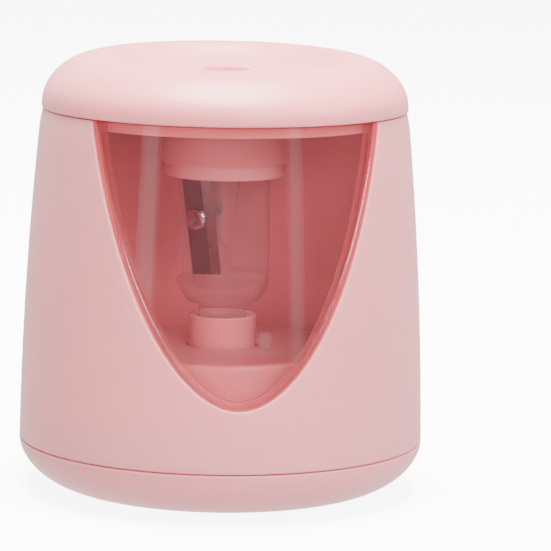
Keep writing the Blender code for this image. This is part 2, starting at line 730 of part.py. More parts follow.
def make_motor(can_material, cap_material, tab_material):
    section = flat_circle(MOTOR_R, MOTOR_FLAT, 24)
    can_verts, can_faces = prism(section, 5.3, 20.3)
    can = build_mesh("motor_can", place(can_verts, 0.0, MOTOR_Y), can_faces)
    join(can, disc(3.05, 19.8, 21.9, 0.0, MOTOR_Y))
    holes = [disc(1.3, 12.0, 24.0, 0.0, MOTOR_Y, 16)]
    holes += [disc(1.3, 17.0, 22.0, side * 8.0, MOTOR_Y, TINY) for side in (-1, 1)]
    cut(can, *holes)
    finish(can, can_material)
    cap_verts, cap_faces = prism(flat_circle(MOTOR_R - 0.4, MOTOR_FLAT - 0.4, 24), 3.2, 5.0)
    finish(build_mesh("motor_end_cap", place(cap_verts, 0.0, MOTOR_Y), cap_faces), cap_material)
    for side, name in ((-1, "motor_terminal_left"), (1, "motor_terminal_right")):
        tab = block(side * 4.0 - 0.9, side * 4.0 + 0.9, MOTOR_Y + 7.9, MOTOR_Y + 9.6, 3.7, 4.3)
        finish(build_mesh(name, *tab), tab_material)
    for side, name in ((-1, "motor_screw_left"), (1, "motor_screw_right")):
        profile = screw_profile(2.0, 22.2, 21.2, 1.0, 17.4, True)
        make_screw(name, side * 8.0, MOTOR_Y, profile, tab_material)


def make_plate_screws(material):
    profile = screw_profile(2.1, PLATE_Z - 1.6, PLATE_Z - GAP, 0.9, 27.4)
    for number, angle in enumerate(PLATE_SCREW_ANGLES, 1):
        make_screw(f"plate_screw_{number}", *polar(PLATE_SCREW_R, angle), profile, material)


def make_press_parts(plastic, steel, pivot):
    profile = [(0.0, 5.6), (1.3, 5.6), (1.6, 5.9), (1.6, 12.6), (4.2, 12.6), (4.2, 15.2), (3.8, 15.6),
               (0.0, 15.6)]
    plunger = build_mesh("switch_plunger", *turned(profile, SMALL), pivot)
    join(plunger, block(-2.2, 2.2, -10.0, -3.0, 12.6, 14.2))
    finish(plunger, plastic)
    profile = [(0.0, 9.2), (1.0, 9.2), (1.0, 12.0), (0.7, 12.3), (0.0, 12.3)]
    button = build_mesh("switch_button", *turned_at(profile, 0.0, -8.5, TINY), pivot)
    finish(button, plastic)
    turns, low, high, mean, wire = 3.5, 6.5 + 0.35, 12.25 - 0.35, 2.9, 0.35
    route = []
    steps = int(turns * 10)
    for i in range(steps + 1):
        angle = 2 * math.pi * turns * i / steps
        rise = min(1.0, max(0.0, (i - 8) / (steps - 16)))
        route.append((mean * math.cos(angle), mean * math.sin(angle), low + (high - low) * rise))
    spring = tube_along("press_spring", route, wire)
    spring.data.materials.append(steel)


def turned_at(profile, x, y, segments):
    verts, faces = turned(profile, segments)
    return place(verts, x, y), faces


def make_run_switch(material):
    switch = build_mesh("run_switch", *block(-6.4, 6.4, -11.4, -5.6, 4.0, 10.5))
    cut(switch, disc(1.35, 7.0, 12.0, 0.0, -8.5, TINY))
    return finish(switch, material)


def make_battery(cell_material, holder_material, contact_material):
    profile = [(0.0, -CELL_HALF), (CELL_R - 0.3, -CELL_HALF), (CELL_R, -CELL_HALF + 0.4),
               (CELL_R, CELL_HALF - 0.8), (CELL_R - 0.4, CELL_HALF - 0.3), (2.0, CELL_HALF - 0.3),
               (2.0, CELL_HALF + 0.4), (0.0, CELL_HALF + 0.4)]
    verts, faces = turned(profile, 24)
    cell = build_mesh("battery_cell", [(z, x + CELL_Y, y + CELL_Z) for x, y, z in verts], faces)
    finish(cell, cell_material)
    well = CELL_R + GAP
    low, high = CELL_Z - well - 0.95, CELL_Z + 0.5
    half, reach = CELL_HALF + 2.9, CELL_R + 1.6
    section = [(CELL_Y - reach, low + 2.5), (CELL_Y - reach + 4.25, low), (CELL_Y + reach, low),
               (CELL_Y + reach, high), (CELL_Y - reach, high)]
    body = prism(section, -half, half)
    holder = build_mesh("battery_holder", [(z, x, y) for x, y, z in body[0]], body[1])
    trough = prism(circle(well, 24, math.pi / 24), -CELL_HALF - 1.5, CELL_HALF + 1.5)
    trough = ([(z, x + CELL_Y, y + CELL_Z) for x, y, z in trough[0]], trough[1])
    cut(holder, trough)
    finish(holder, holder_material)
    for side, name in ((-1, "battery_contact_minus"), (1, "battery_contact_plus")):
        x0, x1 = sorted((side * (CELL_HALF + 0.75), side * (CELL_HALF + 1.15)))
        contact = block(x0, x1, CELL_Y - 3.0, CELL_Y + 3.0, CELL_Z - 2.6, CELL_Z + 3.6)
        finish(build_mesh(name, *contact), contact_material)


def make_electronics(board_material, socket_material, lens_material, steel):
    outline = [(-13.0, 24.9), (13.0, 24.9), (13.0, 33.0), (8.4, 37.2), (-8.4, 37.2), (-13.0, 33.0)]
    board = build_mesh("circuit_board", *prism(outline, 10.0, 11.4))
    cut(board, *[disc(1.2, 8.0, 13.0, side * BOARD_POST[0], BOARD_POST[1], TINY) for side in (-1, 1)])
    finish(board, board_material)
    profile = screw_profile(1.9, 13.1, 11.7, 0.9, 5.4)
    for side, name in ((-1, "board_screw_left"), (1, "board_screw_right")):
        make_screw(name, side * BOARD_POST[0], BOARD_POST[1], profile, steel)
    socket = build_mesh("charge_socket", *block(-4.5, 4.5, 28.4, 38.6, 11.7, 16.5))
    nose = disc(2.05, 38.0, 42.2)
    join(socket, ([(x, z, y + SOCKET_Z) for x, y, z in nose[0]], nose[1]))
    bore = disc(1.5, 31.0, 44.0, segments=16)
    cut(socket, ([(x, z, y + SOCKET_Z) for x, y, z in bore[0]], bore[1]))
    finish(socket, socket_material)
    dome = [(1.5 * math.cos(a), LENS_TOP_Z - 1.5 + 1.5 * math.sin(a)) for a in (0.0, 0.4, 0.8, 1.2)]
    lens = turned_at([(0.0, 28.7), (1.5, 28.7), *dome, (0.0, LENS_TOP_Z)], LENS_X, LENS_Y, TINY)
    finish(build_mesh("indicator_lens", *lens), lens_material)


def make_wires(red, black):
    for side, colour, name in ((1, red, "battery_wire_red"), (-1, black, "battery_wire_black")):
        route = [(26.1, -18.6, 10.6), (25.7, -11.5, 11.4), (22.0, -2.0, 8.4), (19.6, 8.0, 7.0),
                 (16.6, 20.0, 7.4),
                 (13.2, 24.6, 8.2), (12.3, 26.0, 9.5)]
        wire = tube_along(name, smooth_route([(side * x, y, z) for x, y, z in route], 2), 0.55)
        wire.data.materials.append(colour)
    for side, colour, name in ((1, red, "motor_wire_red"), (-1, black, "motor_wire_black")):
        route = [(4.0, 25.2, 4.2), (4.2, 26.6, 5.4), (4.6, 27.2, 7.6), (4.8, 27.2, 9.5)]
        wire = tube_along(name, smooth_route([(side * x, y, z) for x, y, z in route], 3), 0.45)
        wire.data.materials.append(colour)


# ---------------------------------------------------------------- assembly

def build_all():
    clear_scene()
    pink = make_material("pink_plastic", (0.80, 0.51, 0.51), 0.45)
    inner_pink = make_material("inner_pink_plastic", (0.80, 0.48, 0.48), 0.4)
    tinted = make_material("tinted_window", (0.85, 0.25, 0.28), 0.05, transmission=0.9)
    clear = make_material("clear_plastic", (0.85, 0.85, 0.84), 0.15, transmission=0.9)
    frosted = make_material("indicator_plastic", (0.9, 0.85, 0.85), 0.2, transmission=0.6)
    white = make_material("white_plastic", (0.75, 0.74, 0.71), 0.45)
    dark = make_material("dark_plastic", (0.03, 0.03, 0.03), 0.5)
    blade_steel = make_material("blade_steel", (0.10, 0.10, 0.11), 0.25, 1.0)
    steel = make_material("steel", (0.55, 0.55, 0.56), 0.25, 1.0)
    brass = make_material("brass", (0.72, 0.52, 0.22), 0.3, 1.0)
    rubber = make_material("rubber", (0.45, 0.42, 0.42), 0.9)
    green = make_material("board_green", (0.03, 0.18, 0.07), 0.5)
    sleeve = make_material("cell_sleeve", (0.05, 0.16, 0.42), 0.35)
    red_wire = make_material("red_wire", (0.55, 0.03, 0.03), 0.5)
    black_wire = make_material("black_wire", (0.02, 0.02, 0.02), 0.5)

    lid_pivot = make_pivot("lid_axis", z=LID_SEAM_Z)
    press_pivot = make_pivot("press_axis")
    spindle_pivot = make_pivot("spindle_axis")
    idler_pivot = make_pivot("idler_axis", IDLER_X, IDLER_Y)
    motor_pivot = make_pivot("motor_axis", y=MOTOR_Y)

    make_base_cover(pink)
    make_body_shell(pink)
    make_window_panel(tinted)
    make_motor_deck(inner_pink)
    make_feet(rubber)
    make_base_screws(steel)
    make_lid(pink, lid_pivot)
    make_guide_bush(inner_pink, lid_pivot)

    make_cutter_body(clear, spindle_pivot)
    make_cutter_blade(blade_steel, spindle_pivot)
    make_blade_screw(steel, spindle_pivot)
    make_drive_cup(inner_pink, spindle_pivot)
    make_drive_shaft(steel, spindle_pivot)
    make_spindle_gear(white, spindle_pivot)
    make_compound_gear(white, idler_pivot)
    make_motor_pinion(brass, motor_pivot)
    make_motor_shaft(steel, motor_pivot)
    make_gear_axle(steel)
    make_gear_plate(white)
    make_spindle_bush(brass)
    make_plate_screws(steel)

    make_motor(steel, dark, brass)
    make_press_parts(white, steel, press_pivot)
    make_run_switch(dark)
    make_battery(sleeve, dark, steel)
    make_electronics(green, dark, frosted, steel)
    make_wires(red_wire, black_wire)


build_all()
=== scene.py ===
"""Looks of the electric pencil sharpener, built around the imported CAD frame.

Lengths are millimetres unless a name ends in _M; mesh_piece() turns them into metres.
"""
import json
import math

import bmesh
import bpy
from mathutils import Matrix, Vector


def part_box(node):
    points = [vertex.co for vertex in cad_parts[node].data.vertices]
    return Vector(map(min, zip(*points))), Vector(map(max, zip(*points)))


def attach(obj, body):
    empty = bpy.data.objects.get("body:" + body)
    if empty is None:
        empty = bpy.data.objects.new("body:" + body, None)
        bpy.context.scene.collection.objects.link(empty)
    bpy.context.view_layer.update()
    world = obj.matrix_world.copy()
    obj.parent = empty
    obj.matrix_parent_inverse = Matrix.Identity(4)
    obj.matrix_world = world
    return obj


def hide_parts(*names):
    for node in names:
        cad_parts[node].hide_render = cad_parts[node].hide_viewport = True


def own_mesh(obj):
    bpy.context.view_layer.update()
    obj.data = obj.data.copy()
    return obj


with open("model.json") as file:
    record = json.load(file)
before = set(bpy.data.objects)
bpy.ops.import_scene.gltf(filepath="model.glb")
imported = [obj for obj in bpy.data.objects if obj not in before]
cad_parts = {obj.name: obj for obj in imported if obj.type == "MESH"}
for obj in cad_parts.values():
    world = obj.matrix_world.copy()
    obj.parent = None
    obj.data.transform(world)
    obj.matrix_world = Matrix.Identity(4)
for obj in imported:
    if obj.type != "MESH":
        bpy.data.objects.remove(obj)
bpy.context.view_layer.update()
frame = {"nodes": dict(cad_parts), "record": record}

MM = 0.001
SEGMENTS = 168                  # round the large turned pieces
FINE = 64                       # round the small ones

# Sizes read from the frame
LID_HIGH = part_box("lid")[1] / MM
BODY_LOW, BODY_HIGH = (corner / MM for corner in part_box("body_shell"))
BASE_LOW, BASE_HIGH = (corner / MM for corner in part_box("base_cover"))
DECK_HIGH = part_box("motor_deck")[1] / MM
BUSH_LOW, BUSH_HIGH = (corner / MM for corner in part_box("guide_bush"))
CUP_LOW, CUP_HIGH = (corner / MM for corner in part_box("drive_cup"))
CUTTER_LOW, CUTTER_HIGH = (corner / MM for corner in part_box("cutter_body"))
LENS_LOW, LENS_HIGH = (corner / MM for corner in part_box("indicator_lens"))

SEAM_GAP = 0.3
BASE_SEAM_Z = BODY_LOW.z - SEAM_GAP / 2
LID_SEAM_Z = BODY_HIGH.z + SEAM_GAP / 2
SEAM_R = BASE_HIGH.x
LID_R = LID_HIGH.x
WAIST_R = 41.69                 # half way up the wall, which bulges a little
CREST_R, CREST_Z = 27.0, LID_HIGH.z
CREST_FRONT_DROP = 1.9          # the crest is this much lower in front than behind
BASE_BOTTOM_R, BASE_BOTTOM_Z = 30.0, BASE_LOW.z
BASE_POWER, LID_POWER = 1.80, 2.15
WALL = 1.8
DISH_Z, DISH_FLOOR_R = 89.5, 19.0
PENCIL_HOLE_R = 5.2

WINDOW_APEX_Z = 23.7
WINDOW_TOP_Z = 81.2
WINDOW_HALF_ANGLE = 49.9        # degrees either side of the front, at the top
WINDOW_POWER = 0.52
PANE_GAP = 0.3
FLANGE_TOP_Z = 77.6

CUTTER_TURN = -33.0             # degrees the blade face is turned from the front
CONE_TIP_Z, CONE_TOP_Z = 52.0, 70.3
CONE_TIP_R, CONE_TOP_R = 1.35, 4.15
BLADE_MID_Z = 57.5
BLADE_SKEW = -3.4               # degrees the cutting edge leans within the blade face
BLADE_BEVEL = 2.0
SCREW_OFFSET = -4.5

BASE_SCREW_R, BASE_SCREW_ANGLES = 31.5, (-20.0, 200.0, 35.0, 145.0)
PLATE_SCREW_R, PLATE_SCREW_ANGLES = 22.0, (155.0, 245.0, 335.0)
FOOT_R, FOOT_ANGLES = 24.0, (45.0, 135.0, 225.0, 315.0)
SOCKET_Z = 14.1
SOCKET_HOLE_R = 2.4

SKY_GLOW, GROUND_GLOW = 0.5, 1.4        # studio light from above and, bounced, from below the horizon
BACK_GLOW = 1.2                         # more of it from behind, as off a white backdrop


# ---------------------------------------------------------------- materials

class Nodes:
    """A Principled material and short ways to feed its sockets."""

    def __init__(self, name):
        self.material = bpy.data.materials.new(name)
        self.material.use_nodes = True
        self.tree = self.material.node_tree
        self.shader = self.tree.nodes["Principled BSDF"]
        self.output = self.tree.nodes["Material Output"]
        self.coords = self.add("ShaderNodeTexCoord").outputs["Object"]

    def add(self, kind, **settings):
        node = self.tree.nodes.new(kind)
        for key, value in settings.items():
            setattr(node, key, value)
        return node

    def link(self, source, target):
        self.tree.links.new(source, target)

    def set(self, **values):
        for key, value in values.items():
            self.shader.inputs[key.replace("_", " ")].default_value = value

    def stretched(self, scale):
        mapping = self.add("ShaderNodeMapping")
        mapping.inputs["Scale"].default_value = scale
        self.link(self.coords, mapping.inputs["Vector"])
        return mapping.outputs["Vector"]

    def noise(self, scale, detail=2.0, roughness=0.5, vector=None):
        node = self.add("ShaderNodeTexNoise")
        node.inputs["Scale"].default_value = scale
        node.inputs["Detail"].default_value = detail
        node.inputs["Roughness"].default_value = roughness
        self.link(vector or self.coords, node.inputs["Vector"])
        return node.outputs["Fac"]

    def ramp(self, factor, low, high, start=0.3, end=0.7):
        node = self.add("ShaderNodeValToRGB")
        node.color_ramp.elements[0].position = start
        node.color_ramp.elements[1].position = end
        node.color_ramp.elements[0].color = (*low, 1.0)
        node.color_ramp.elements[1].color = (*high, 1.0)
        self.link(factor, node.inputs["Fac"])
        return node.outputs["Color"]

    def spread(self, factor, low, high):
        node = self.add("ShaderNodeMapRange")
        node.inputs["From Min"].default_value = 0.3
        node.inputs["From Max"].default_value = 0.7
        node.inputs["To Min"].default_value = low
        node.inputs["To Max"].default_value = high
        self.link(factor, node.inputs["Value"])
        return node.outputs["Result"]

    def mix(self, a, b, factor=0.5, blend="MIX"):
        node = self.add("ShaderNodeMix", data_type="RGBA", blend_type=blend)
        node.inputs[0].default_value = factor
        self.link(a, node.inputs[6])
        self.link(b, node.inputs[7])
        return node.outputs[2]

    def bump(self, height, strength, distance):
        node = self.add("ShaderNodeBump")
        node.inputs["Strength"].default_value = strength
        node.inputs["Distance"].default_value = distance
        self.link(height, node.inputs["Height"])
        self.link(node.outputs["Normal"], self.shader.inputs["Normal"])


def shade(colour, factor):
    return tuple(min(1.0, channel * factor) for channel in colour)


def moulded_plastic(name, colour, rough=(0.36, 0.46), speckle=0.05, grain=0.12, glow=0.0):
    """Satin moulded plastic: fine spark-eroded grain, faint flow marks and tiny bright and dark specks."""
    n = Nodes(name)
    flow = n.ramp(n.noise(45.0, 3.0), shade(colour, 0.985), shade(colour, 1.015))
    specks = n.ramp(n.noise(3600.0, 1.0), (1.0 - speckle,) * 3, (1.0 + speckle,) * 3, 0.35, 0.65)
    n.link(n.mix(flow, specks, 1.0, "MULTIPLY"), n.shader.inputs["Base Color"])
    n.link(n.spread(n.noise(900.0, 3.0), *rough), n.shader.inputs["Roughness"])
    n.bump(n.noise(5200.0, 2.0, 0.6), grain, 0.00003)
    n.set(IOR=1.5)
    if glow:
        n.set(Subsurface_Weight=glow, Subsurface_Scale=0.005)
        n.shader.inputs["Subsurface Radius"].default_value = (1.0, 0.35, 0.32)
    return n.material


def plain_metal(name, colour, rough=(0.22, 0.34), streak=(1.0, 1.0, 1.0), tone=0.08):
    """Metal with drawn or ground streaks along the axis whose streak scale is smallest."""
    n = Nodes(name)
    grind = n.noise(2600.0, 4.0, 0.6, n.stretched(streak))
    stain = n.ramp(n.noise(240.0, 4.0), shade(colour, 1.0 - tone), shade(colour, 1.0 + tone))
    lines = n.ramp(grind, (0.93, 0.93, 0.93), (1.05, 1.05, 1.05))
    n.link(n.mix(stain, lines, 1.0, "MULTIPLY"), n.shader.inputs["Base Color"])
    n.link(n.spread(grind, *rough), n.shader.inputs["Roughness"])
    n.bump(grind, 0.08, 0.00001)
    n.set(Metallic=1.0)
    return n.material


def soft_rubber(name, colour):
    n = Nodes(name)
    dust = n.ramp(n.noise(700.0, 5.0, 0.6), shade(colour, 0.9), shade(colour, 1.12))
    n.link(dust, n.shader.inputs["Base Color"])
    n.link(n.spread(n.noise(1500.0, 3.0), 0.7, 0.9), n.shader.inputs["Roughness"])
    n.bump(n.noise(3000.0, 3.0), 0.25, 0.00004)
    return n.material


def see_through(name, tint, gloss_rough=0.03, haze=0.0, haze_colour=(1.0, 1.0, 1.0), haze_spread=0.02,
                ior=1.49):
    """Thin clear plastic: tinted light passes straight on under a glossy skin; haze is moulding cloud.

    The gloss grows towards grazing alike on both sides, so that a back face doesn't turn into a mirror.
    """
    n = Nodes(name)
    tree = n.tree
    tree.nodes.remove(n.shader)
    clear = n.add("ShaderNodeBsdfTransparent")
    n.link(n.ramp(n.noise(60.0, 2.0), shade(tint, 0.985), shade(tint, 1.0)), clear.inputs["Color"])
    gloss = n.add("ShaderNodeBsdfGlossy")
    gloss.inputs["Roughness"].default_value = gloss_rough
    grazing = n.add("ShaderNodeLayerWeight")
    grazing.inputs["Blend"].default_value = 0.5
    bend = n.add("ShaderNodeMath")
    bend.operation = "POWER"
    bend.inputs[1].default_value = 5.0
    n.link(grazing.outputs["Facing"], bend.inputs[0])
    mirror = n.add("ShaderNodeMapRange")
    mirror.inputs["To Min"].default_value = ((ior - 1.0) / (ior + 1.0)) ** 2
    n.link(bend.outputs[0], mirror.inputs["Value"])
    ripple = n.add("ShaderNodeBump")
    ripple.inputs["Strength"].default_value = 0.05
    ripple.inputs["Distance"].default_value = 0.0001
    n.link(n.noise(90.0, 2.0), ripple.inputs["Height"])
    n.link(ripple.outputs["Normal"], gloss.inputs["Normal"])
    under = clear.outputs[0]
    if haze:
        cloud = n.add("ShaderNodeBsdfDiffuse")
        cloud.inputs["Color"].default_value = (*haze_colour, 1.0)
        blend = n.add("ShaderNodeMixShader")
        density = n.spread(n.noise(420.0, 4.0, 0.6), haze - haze_spread, haze + haze_spread)
        n.link(density, blend.inputs[0])
        n.link(under, blend.inputs[1])
        n.link(cloud.outputs[0], blend.inputs[2])
        under = blend.outputs[0]
    surface = n.add("ShaderNodeMixShader")
    n.link(mirror.outputs["Result"], surface.inputs[0])
    n.link(under, surface.inputs[1])
    n.link(gloss.outputs[0], surface.inputs[2])
    n.link(surface.outputs[0], n.output.inputs["Surface"])
    return n.material


PINK = (0.80, 0.262, 0.278)
PINK_LIGHT = (0.82, 0.235, 0.252)
PINK_INNER = (0.84, 0.34, 0.36)
PINK_CHAMBER_SHADED = (0.76, 0.235, 0.27)       # painted shade: the inside of the wall, a darker and slightly redder copy of the body pink

MATERIALS = {
    "pink_plastic": moulded_plastic("pink_body", PINK, glow=0.8),
    "pink_lid": moulded_plastic("pink_lid", PINK_LIGHT, glow=0.8),
    "inner_pink_plastic": moulded_plastic("pink_inner", PINK_INNER, rough=(0.3, 0.4), glow=0.8),
    # painted shade: a darker pink for the inside of the wall, which lies in shade behind the window
    "chamber_shaded_plastic": moulded_plastic("pink_chamber_shaded", PINK_CHAMBER_SHADED),
    "tinted_window": see_through("tinted_window", (0.985, 0.83, 0.845), haze=0.01,
                                 haze_colour=(0.85, 0.42, 0.46), haze_spread=0.003),
    "window_border": see_through("window_border", (0.95, 0.70, 0.73), 0.16, haze=0.05,
                                 haze_colour=(0.85, 0.30, 0.33), ior=1.36),
    "window_edge": see_through("window_edge", (0.92, 0.64, 0.66), 0.3, haze=0.2,
                               haze_colour=(0.80, 0.2, 0.22), ior=1.2),
    "clear_plastic": see_through("clear_cutter", (0.93, 0.91, 0.91), 0.25, haze=0.055, haze_spread=0.02,
                                 haze_colour=(0.95, 0.72, 0.74), ior=1.5),
    "indicator_plastic": see_through("indicator_lens", (0.94, 0.90, 0.90), 0.04, haze=0.1,
                                     haze_spread=0.03, ior=1.8),
    "white_plastic": moulded_plastic("white_acetal", (0.72, 0.71, 0.67), rough=(0.35, 0.5)),
    "dark_plastic": moulded_plastic("dark_plastic", (0.025, 0.025, 0.027), rough=(0.4, 0.55)),
    "blade_steel": plain_metal("blade_steel", (0.30, 0.36, 0.40), (0.3, 0.42), (1.0, 1.0, 0.08), 0.04),
    "blade_edge": plain_metal("blade_ground_edge", (0.44, 0.42, 0.44), (0.26, 0.36), (1.0, 1.0, 0.08),
                              0.03),
    "steel": plain_metal("zinc_steel", (0.66, 0.66, 0.68), (0.16, 0.28)),
    "brass": plain_metal("brass", (0.70, 0.50, 0.20), (0.2, 0.32)),
    "rubber": soft_rubber("grey_rubber", (0.34, 0.31, 0.31)),
    "board_green": moulded_plastic("board_green", (0.02, 0.15, 0.06), rough=(0.3, 0.45)),
    "cell_sleeve": moulded_plastic("cell_sleeve", (0.04, 0.15, 0.42), rough=(0.2, 0.3), grain=0.03),
    "red_wire": moulded_plastic("red_wire", (0.5, 0.02, 0.02), rough=(0.35, 0.5)),
    "black_wire": moulded_plastic("black_wire", (0.02, 0.02, 0.02), rough=(0.35, 0.5)),
}


# ---------------------------------------------------------------- mesh helpers

def solid_mesh(name, verts, faces, finishes=None):
    """Closed mesh from millimetre points; a face whose points coincide is left out."""
    bm = bmesh.new()
    points = [bm.verts.new(Vector(co) * MM) for co in verts]
    for number, face in enumerate(faces):
        ring = tuple(dict.fromkeys(face))
        if len(ring) > 2:
            made = bm.faces.new([points[i] for i in ring])
            made.material_index = finishes[number] if finishes else 0
    bmesh.ops.recalc_face_normals(bm, faces=bm.faces)
    mesh = bpy.data.meshes.new(name)
    bm.to_mesh(mesh)
    bm.free()
    return mesh


def mesh_piece(name, verts, faces, material, body, stands_for, slot, crease=40.0, finishes=None):
    """A smooth-shaded piece from millimetre points, riding on a body and replacing CAD nodes."""
    mesh = solid_mesh(name, verts, faces, finishes)
    piece = bpy.data.objects.new(name, mesh)
    bpy.context.scene.collection.objects.link(piece)
    mesh.materials.append(MATERIALS[material])
    mesh.shade_smooth()
    mesh.set_sharp_from_angle(angle=math.radians(crease))
    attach(piece, body)
    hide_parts(*stands_for)
    return piece


def filleted(corners, steps=4):
    """Closed outline whose corners (a, b, radius) are rounded; a bare (a, b) stays sharp."""
    outline = []
    count = len(corners)
    for i, corner in enumerate(corners):
        here = Vector(corner[:2])
        radius = corner[2] if len(corner) > 2 else 0.0
        before = Vector(corners[i - 1][:2]) - here
        after = Vector(corners[(i + 1) % count][:2]) - here
        if radius <= 0 or before.length < 1e-6 or after.length < 1e-6:
            outline.append(tuple(here))
            continue
        turn = before.angle(after)
        reach = min(radius / math.tan(turn / 2), 0.49 * before.length, 0.49 * after.length)
        start, end = here + before.normalized() * reach, here + after.normalized() * reach
        for k in range(steps + 1):
            t = k / steps
            outline.append(tuple(start * (1 - t) ** 2 + here * 2 * t * (1 - t) + end * t ** 2))
    return outline


def turned(profile, segments=SEGMENTS):
    """Closed solid of revolution from a closed (radius, height) outline; axis points become poles."""
    verts, rings = [], []
    for radius, height in profile:
        if radius < 1e-6:
            rings.append([len(verts)] * segments)
            verts.append((0.0, 0.0, height))
            continue
        rings.append(list(range(len(verts), len(verts) + segments)))
        for i in range(segments):
            angle = 2 * math.pi * i / segments
            verts.append((radius * math.cos(angle), radius * math.sin(angle), height))
    faces = []
    for low, high in zip(rings, rings[1:] + rings[:1]):
        if low[0] == low[1] and high[0] == high[1]:
            continue
        for i in range(segments):
            j = (i + 1) % segments
            faces.append((low[i], low[j], high[j], high[i]))
    return verts, faces


def prism(outline, low, high):
    count = len(outline)
    verts = [(x, y, low) for x, y in outline] + [(x, y, high) for x, y in outline]
    faces = [tuple(range(count)), tuple(range(count, 2 * count))]
    faces += [(i, (i + 1) % count, count + (i + 1) % count, count + i) for i in range(count)]
    return verts, faces


def circle(radius, segments=FINE):
    step = 2 * math.pi / segments
    return [(radius * math.cos(i * step), radius * math.sin(i * step)) for i in range(segments)]


def block(x0, x1, y0, y1, z0, z1):
    return prism([(x0, y0), (x1, y0), (x1, y1), (x0, y1)], z0, z1)


def place(solid, x=0.0, y=0.0, z=0.0, turn=0.0):
    verts, faces = solid
    spin = Matrix.Rotation(math.radians(turn), 4, "Z")
    return [spin @ Vector(co) + Vector((x, y, z)) for co in verts], faces


def laid(solid, x=0.0, y=0.0, z=0.0):
    """A solid whose height becomes its reach along +Y."""
    verts, faces = solid
    return [(vx + x, vz + y, vy + z) for vx, vy, vz in verts], faces


def polar(radius, degrees):
    return radius * math.cos(math.radians(degrees)), radius * math.sin(math.radians(degrees))


def carve(piece, solids, operation="DIFFERENCE"):
    """Cut solids out of a finished piece, or join them to it, and keep the result as plain mesh."""
    for verts, faces in solids:
        mesh = solid_mesh("tool", verts, faces)
        tool = bpy.data.objects.new("tool", mesh)
        bpy.context.scene.collection.objects.link(tool)
        modifier = piece.modifiers.new("Carve", "BOOLEAN")
        modifier.operation = operation
        modifier.solver = "EXACT"
        modifier.object = tool
        bpy.context.view_layer.update()
        graph = bpy.context.evaluated_depsgraph_get()
        result = bpy.data.meshes.new_from_object(piece.evaluated_get(graph), depsgraph=graph)
        piece.modifiers.clear()
        old, piece.data = piece.data, result
        bpy.data.meshes.remove(old)
        bpy.data.objects.remove(tool)
        bpy.data.meshes.remove(mesh)
    piece.data.shade_smooth()
    piece.data.set_sharp_from_angle(angle=math.radians(40.0))
    return piece


# ---------------------------------------------------------------- outer form

def body_radius(height):
    u = (height - BASE_SEAM_Z) / (LID_SEAM_Z - BASE_SEAM_Z)
    return SEAM_R * (1 - u) * (1 - 2 * u) + 4 * u * (1 - u) * WAIST_R + LID_R * u * (2 * u - 1)


def base_curve(steps, low=BASE_BOTTOM_Z, inset=0.0):
    top = BASE_SEAM_Z - SEAM_GAP / 2
    curve = []
    for i in range(steps + 1):
        a = math.pi / 2 * i / steps
        radius = BASE_BOTTOM_R + (SEAM_R - BASE_BOTTOM_R) * math.sin(a) ** (2 / BASE_POWER)
        height = low + (top - low) * (1 - math.cos(a) ** (2 / BASE_POWER))
        curve.append((radius - inset, height))
    return curve


def lid_curve(steps, inset=0.0):
    low = LID_SEAM_Z + SEAM_GAP / 2
    curve = []
    for i in range(steps + 1):
        a = math.pi / 2 * i / steps
        radius = CREST_R + (LID_R - CREST_R) * math.cos(a) ** (2 / LID_POWER)
        height = low + (CREST_Z - low) * math.sin(a) ** (2 / LID_POWER)
        curve.append((radius - inset * math.cos(a), height - inset * math.sin(a)))
    return curve


def dish_curve(steps):
    curve = []
    for i in range(1, steps + 1):
        t = i / steps
        radius = CREST_R + (DISH_FLOOR_R - CREST_R) * t
        curve.append((radius, CREST_Z - (CREST_Z - DISH_Z) * (1 - math.cos(math.pi * t)) / 2))
    step = (DISH_FLOOR_R - PENCIL_HOLE_R) / 8
    return curve + [(PENCIL_HOLE_R + step * k, DISH_Z) for k in range(7, 0, -1)]


def slope_to_front(verts):
    """Lower the crest of the lid towards the front, fading out down the shoulder and into the dish."""
    shoulder_z, shoulder_tall, dish_edge_wide = 82.0, 9.0, 6.0
    moved = []
    for x, y, z in verts:
        down = min(1.0, max(0.0, (z - shoulder_z) / shoulder_tall))
        inward = min(1.0, max(0.0, (math.hypot(x, y) - DISH_FLOOR_R) / dish_edge_wide))
        share = down * down * (3 - 2 * down) * inward * inward * (3 - 2 * inward)
        moved.append((x, y, z - share * CREST_FRONT_DROP * max(0.0, 0.5 - 0.5 * y / CREST_R)))
    return moved


def make_lid():
    skirt_outer, skirt_inner, skirt_bottom = 35.2, 33.8, 78.4
    tube_r, tube_inner, tube_bottom = 13.7, 12.9, 69.9
    under = lid_curve(24, WALL)
    roof = [(r, z) for r, z in under if r > skirt_outer + 0.2]
    inside = [(r, z) for r, z in under if tube_r + 1.0 < r < skirt_inner - 0.2]
    belly = [(r, z - WALL) for r, z in dish_curve(20) if r > tube_r + 1.0]
    belly_low = DISH_Z - WALL
    join_z = [z for r, z in under if r > skirt_inner][-1]
    shoulder = lid_curve(56)
    lip = (LID_R, shoulder[0][1])
    corners = [(lip[0] - 0.28, lip[1]), (lip[0] - 0.09, lip[1] + 0.05), (lip[0] - 0.02, lip[1] + 0.16)]
    corners += [point for point in shoulder[1:] if point[1] > lip[1] + 0.3]
    corners += [*dish_curve(36), (PENCIL_HOLE_R + 0.2, DISH_Z - 0.06), (PENCIL_HOLE_R, DISH_Z - 0.35),
                (PENCIL_HOLE_R, belly_low), (tube_inner, belly_low), (tube_inner, tube_bottom, 0.15),
                (tube_r, tube_bottom, 0.3), (tube_r, belly_low), *reversed(belly), *reversed(inside),
                (skirt_inner, join_z), (skirt_inner, skirt_bottom, 0.2), (skirt_outer, skirt_bottom, 0.4),
                (skirt_outer, join_z - 1.2), *reversed(roof)]
    verts, faces = turned(filleted(corners))
    return mesh_piece("lid_cap", slope_to_front(verts), faces, "pink_lid", "lid", ["lid"], "pink_plastic")


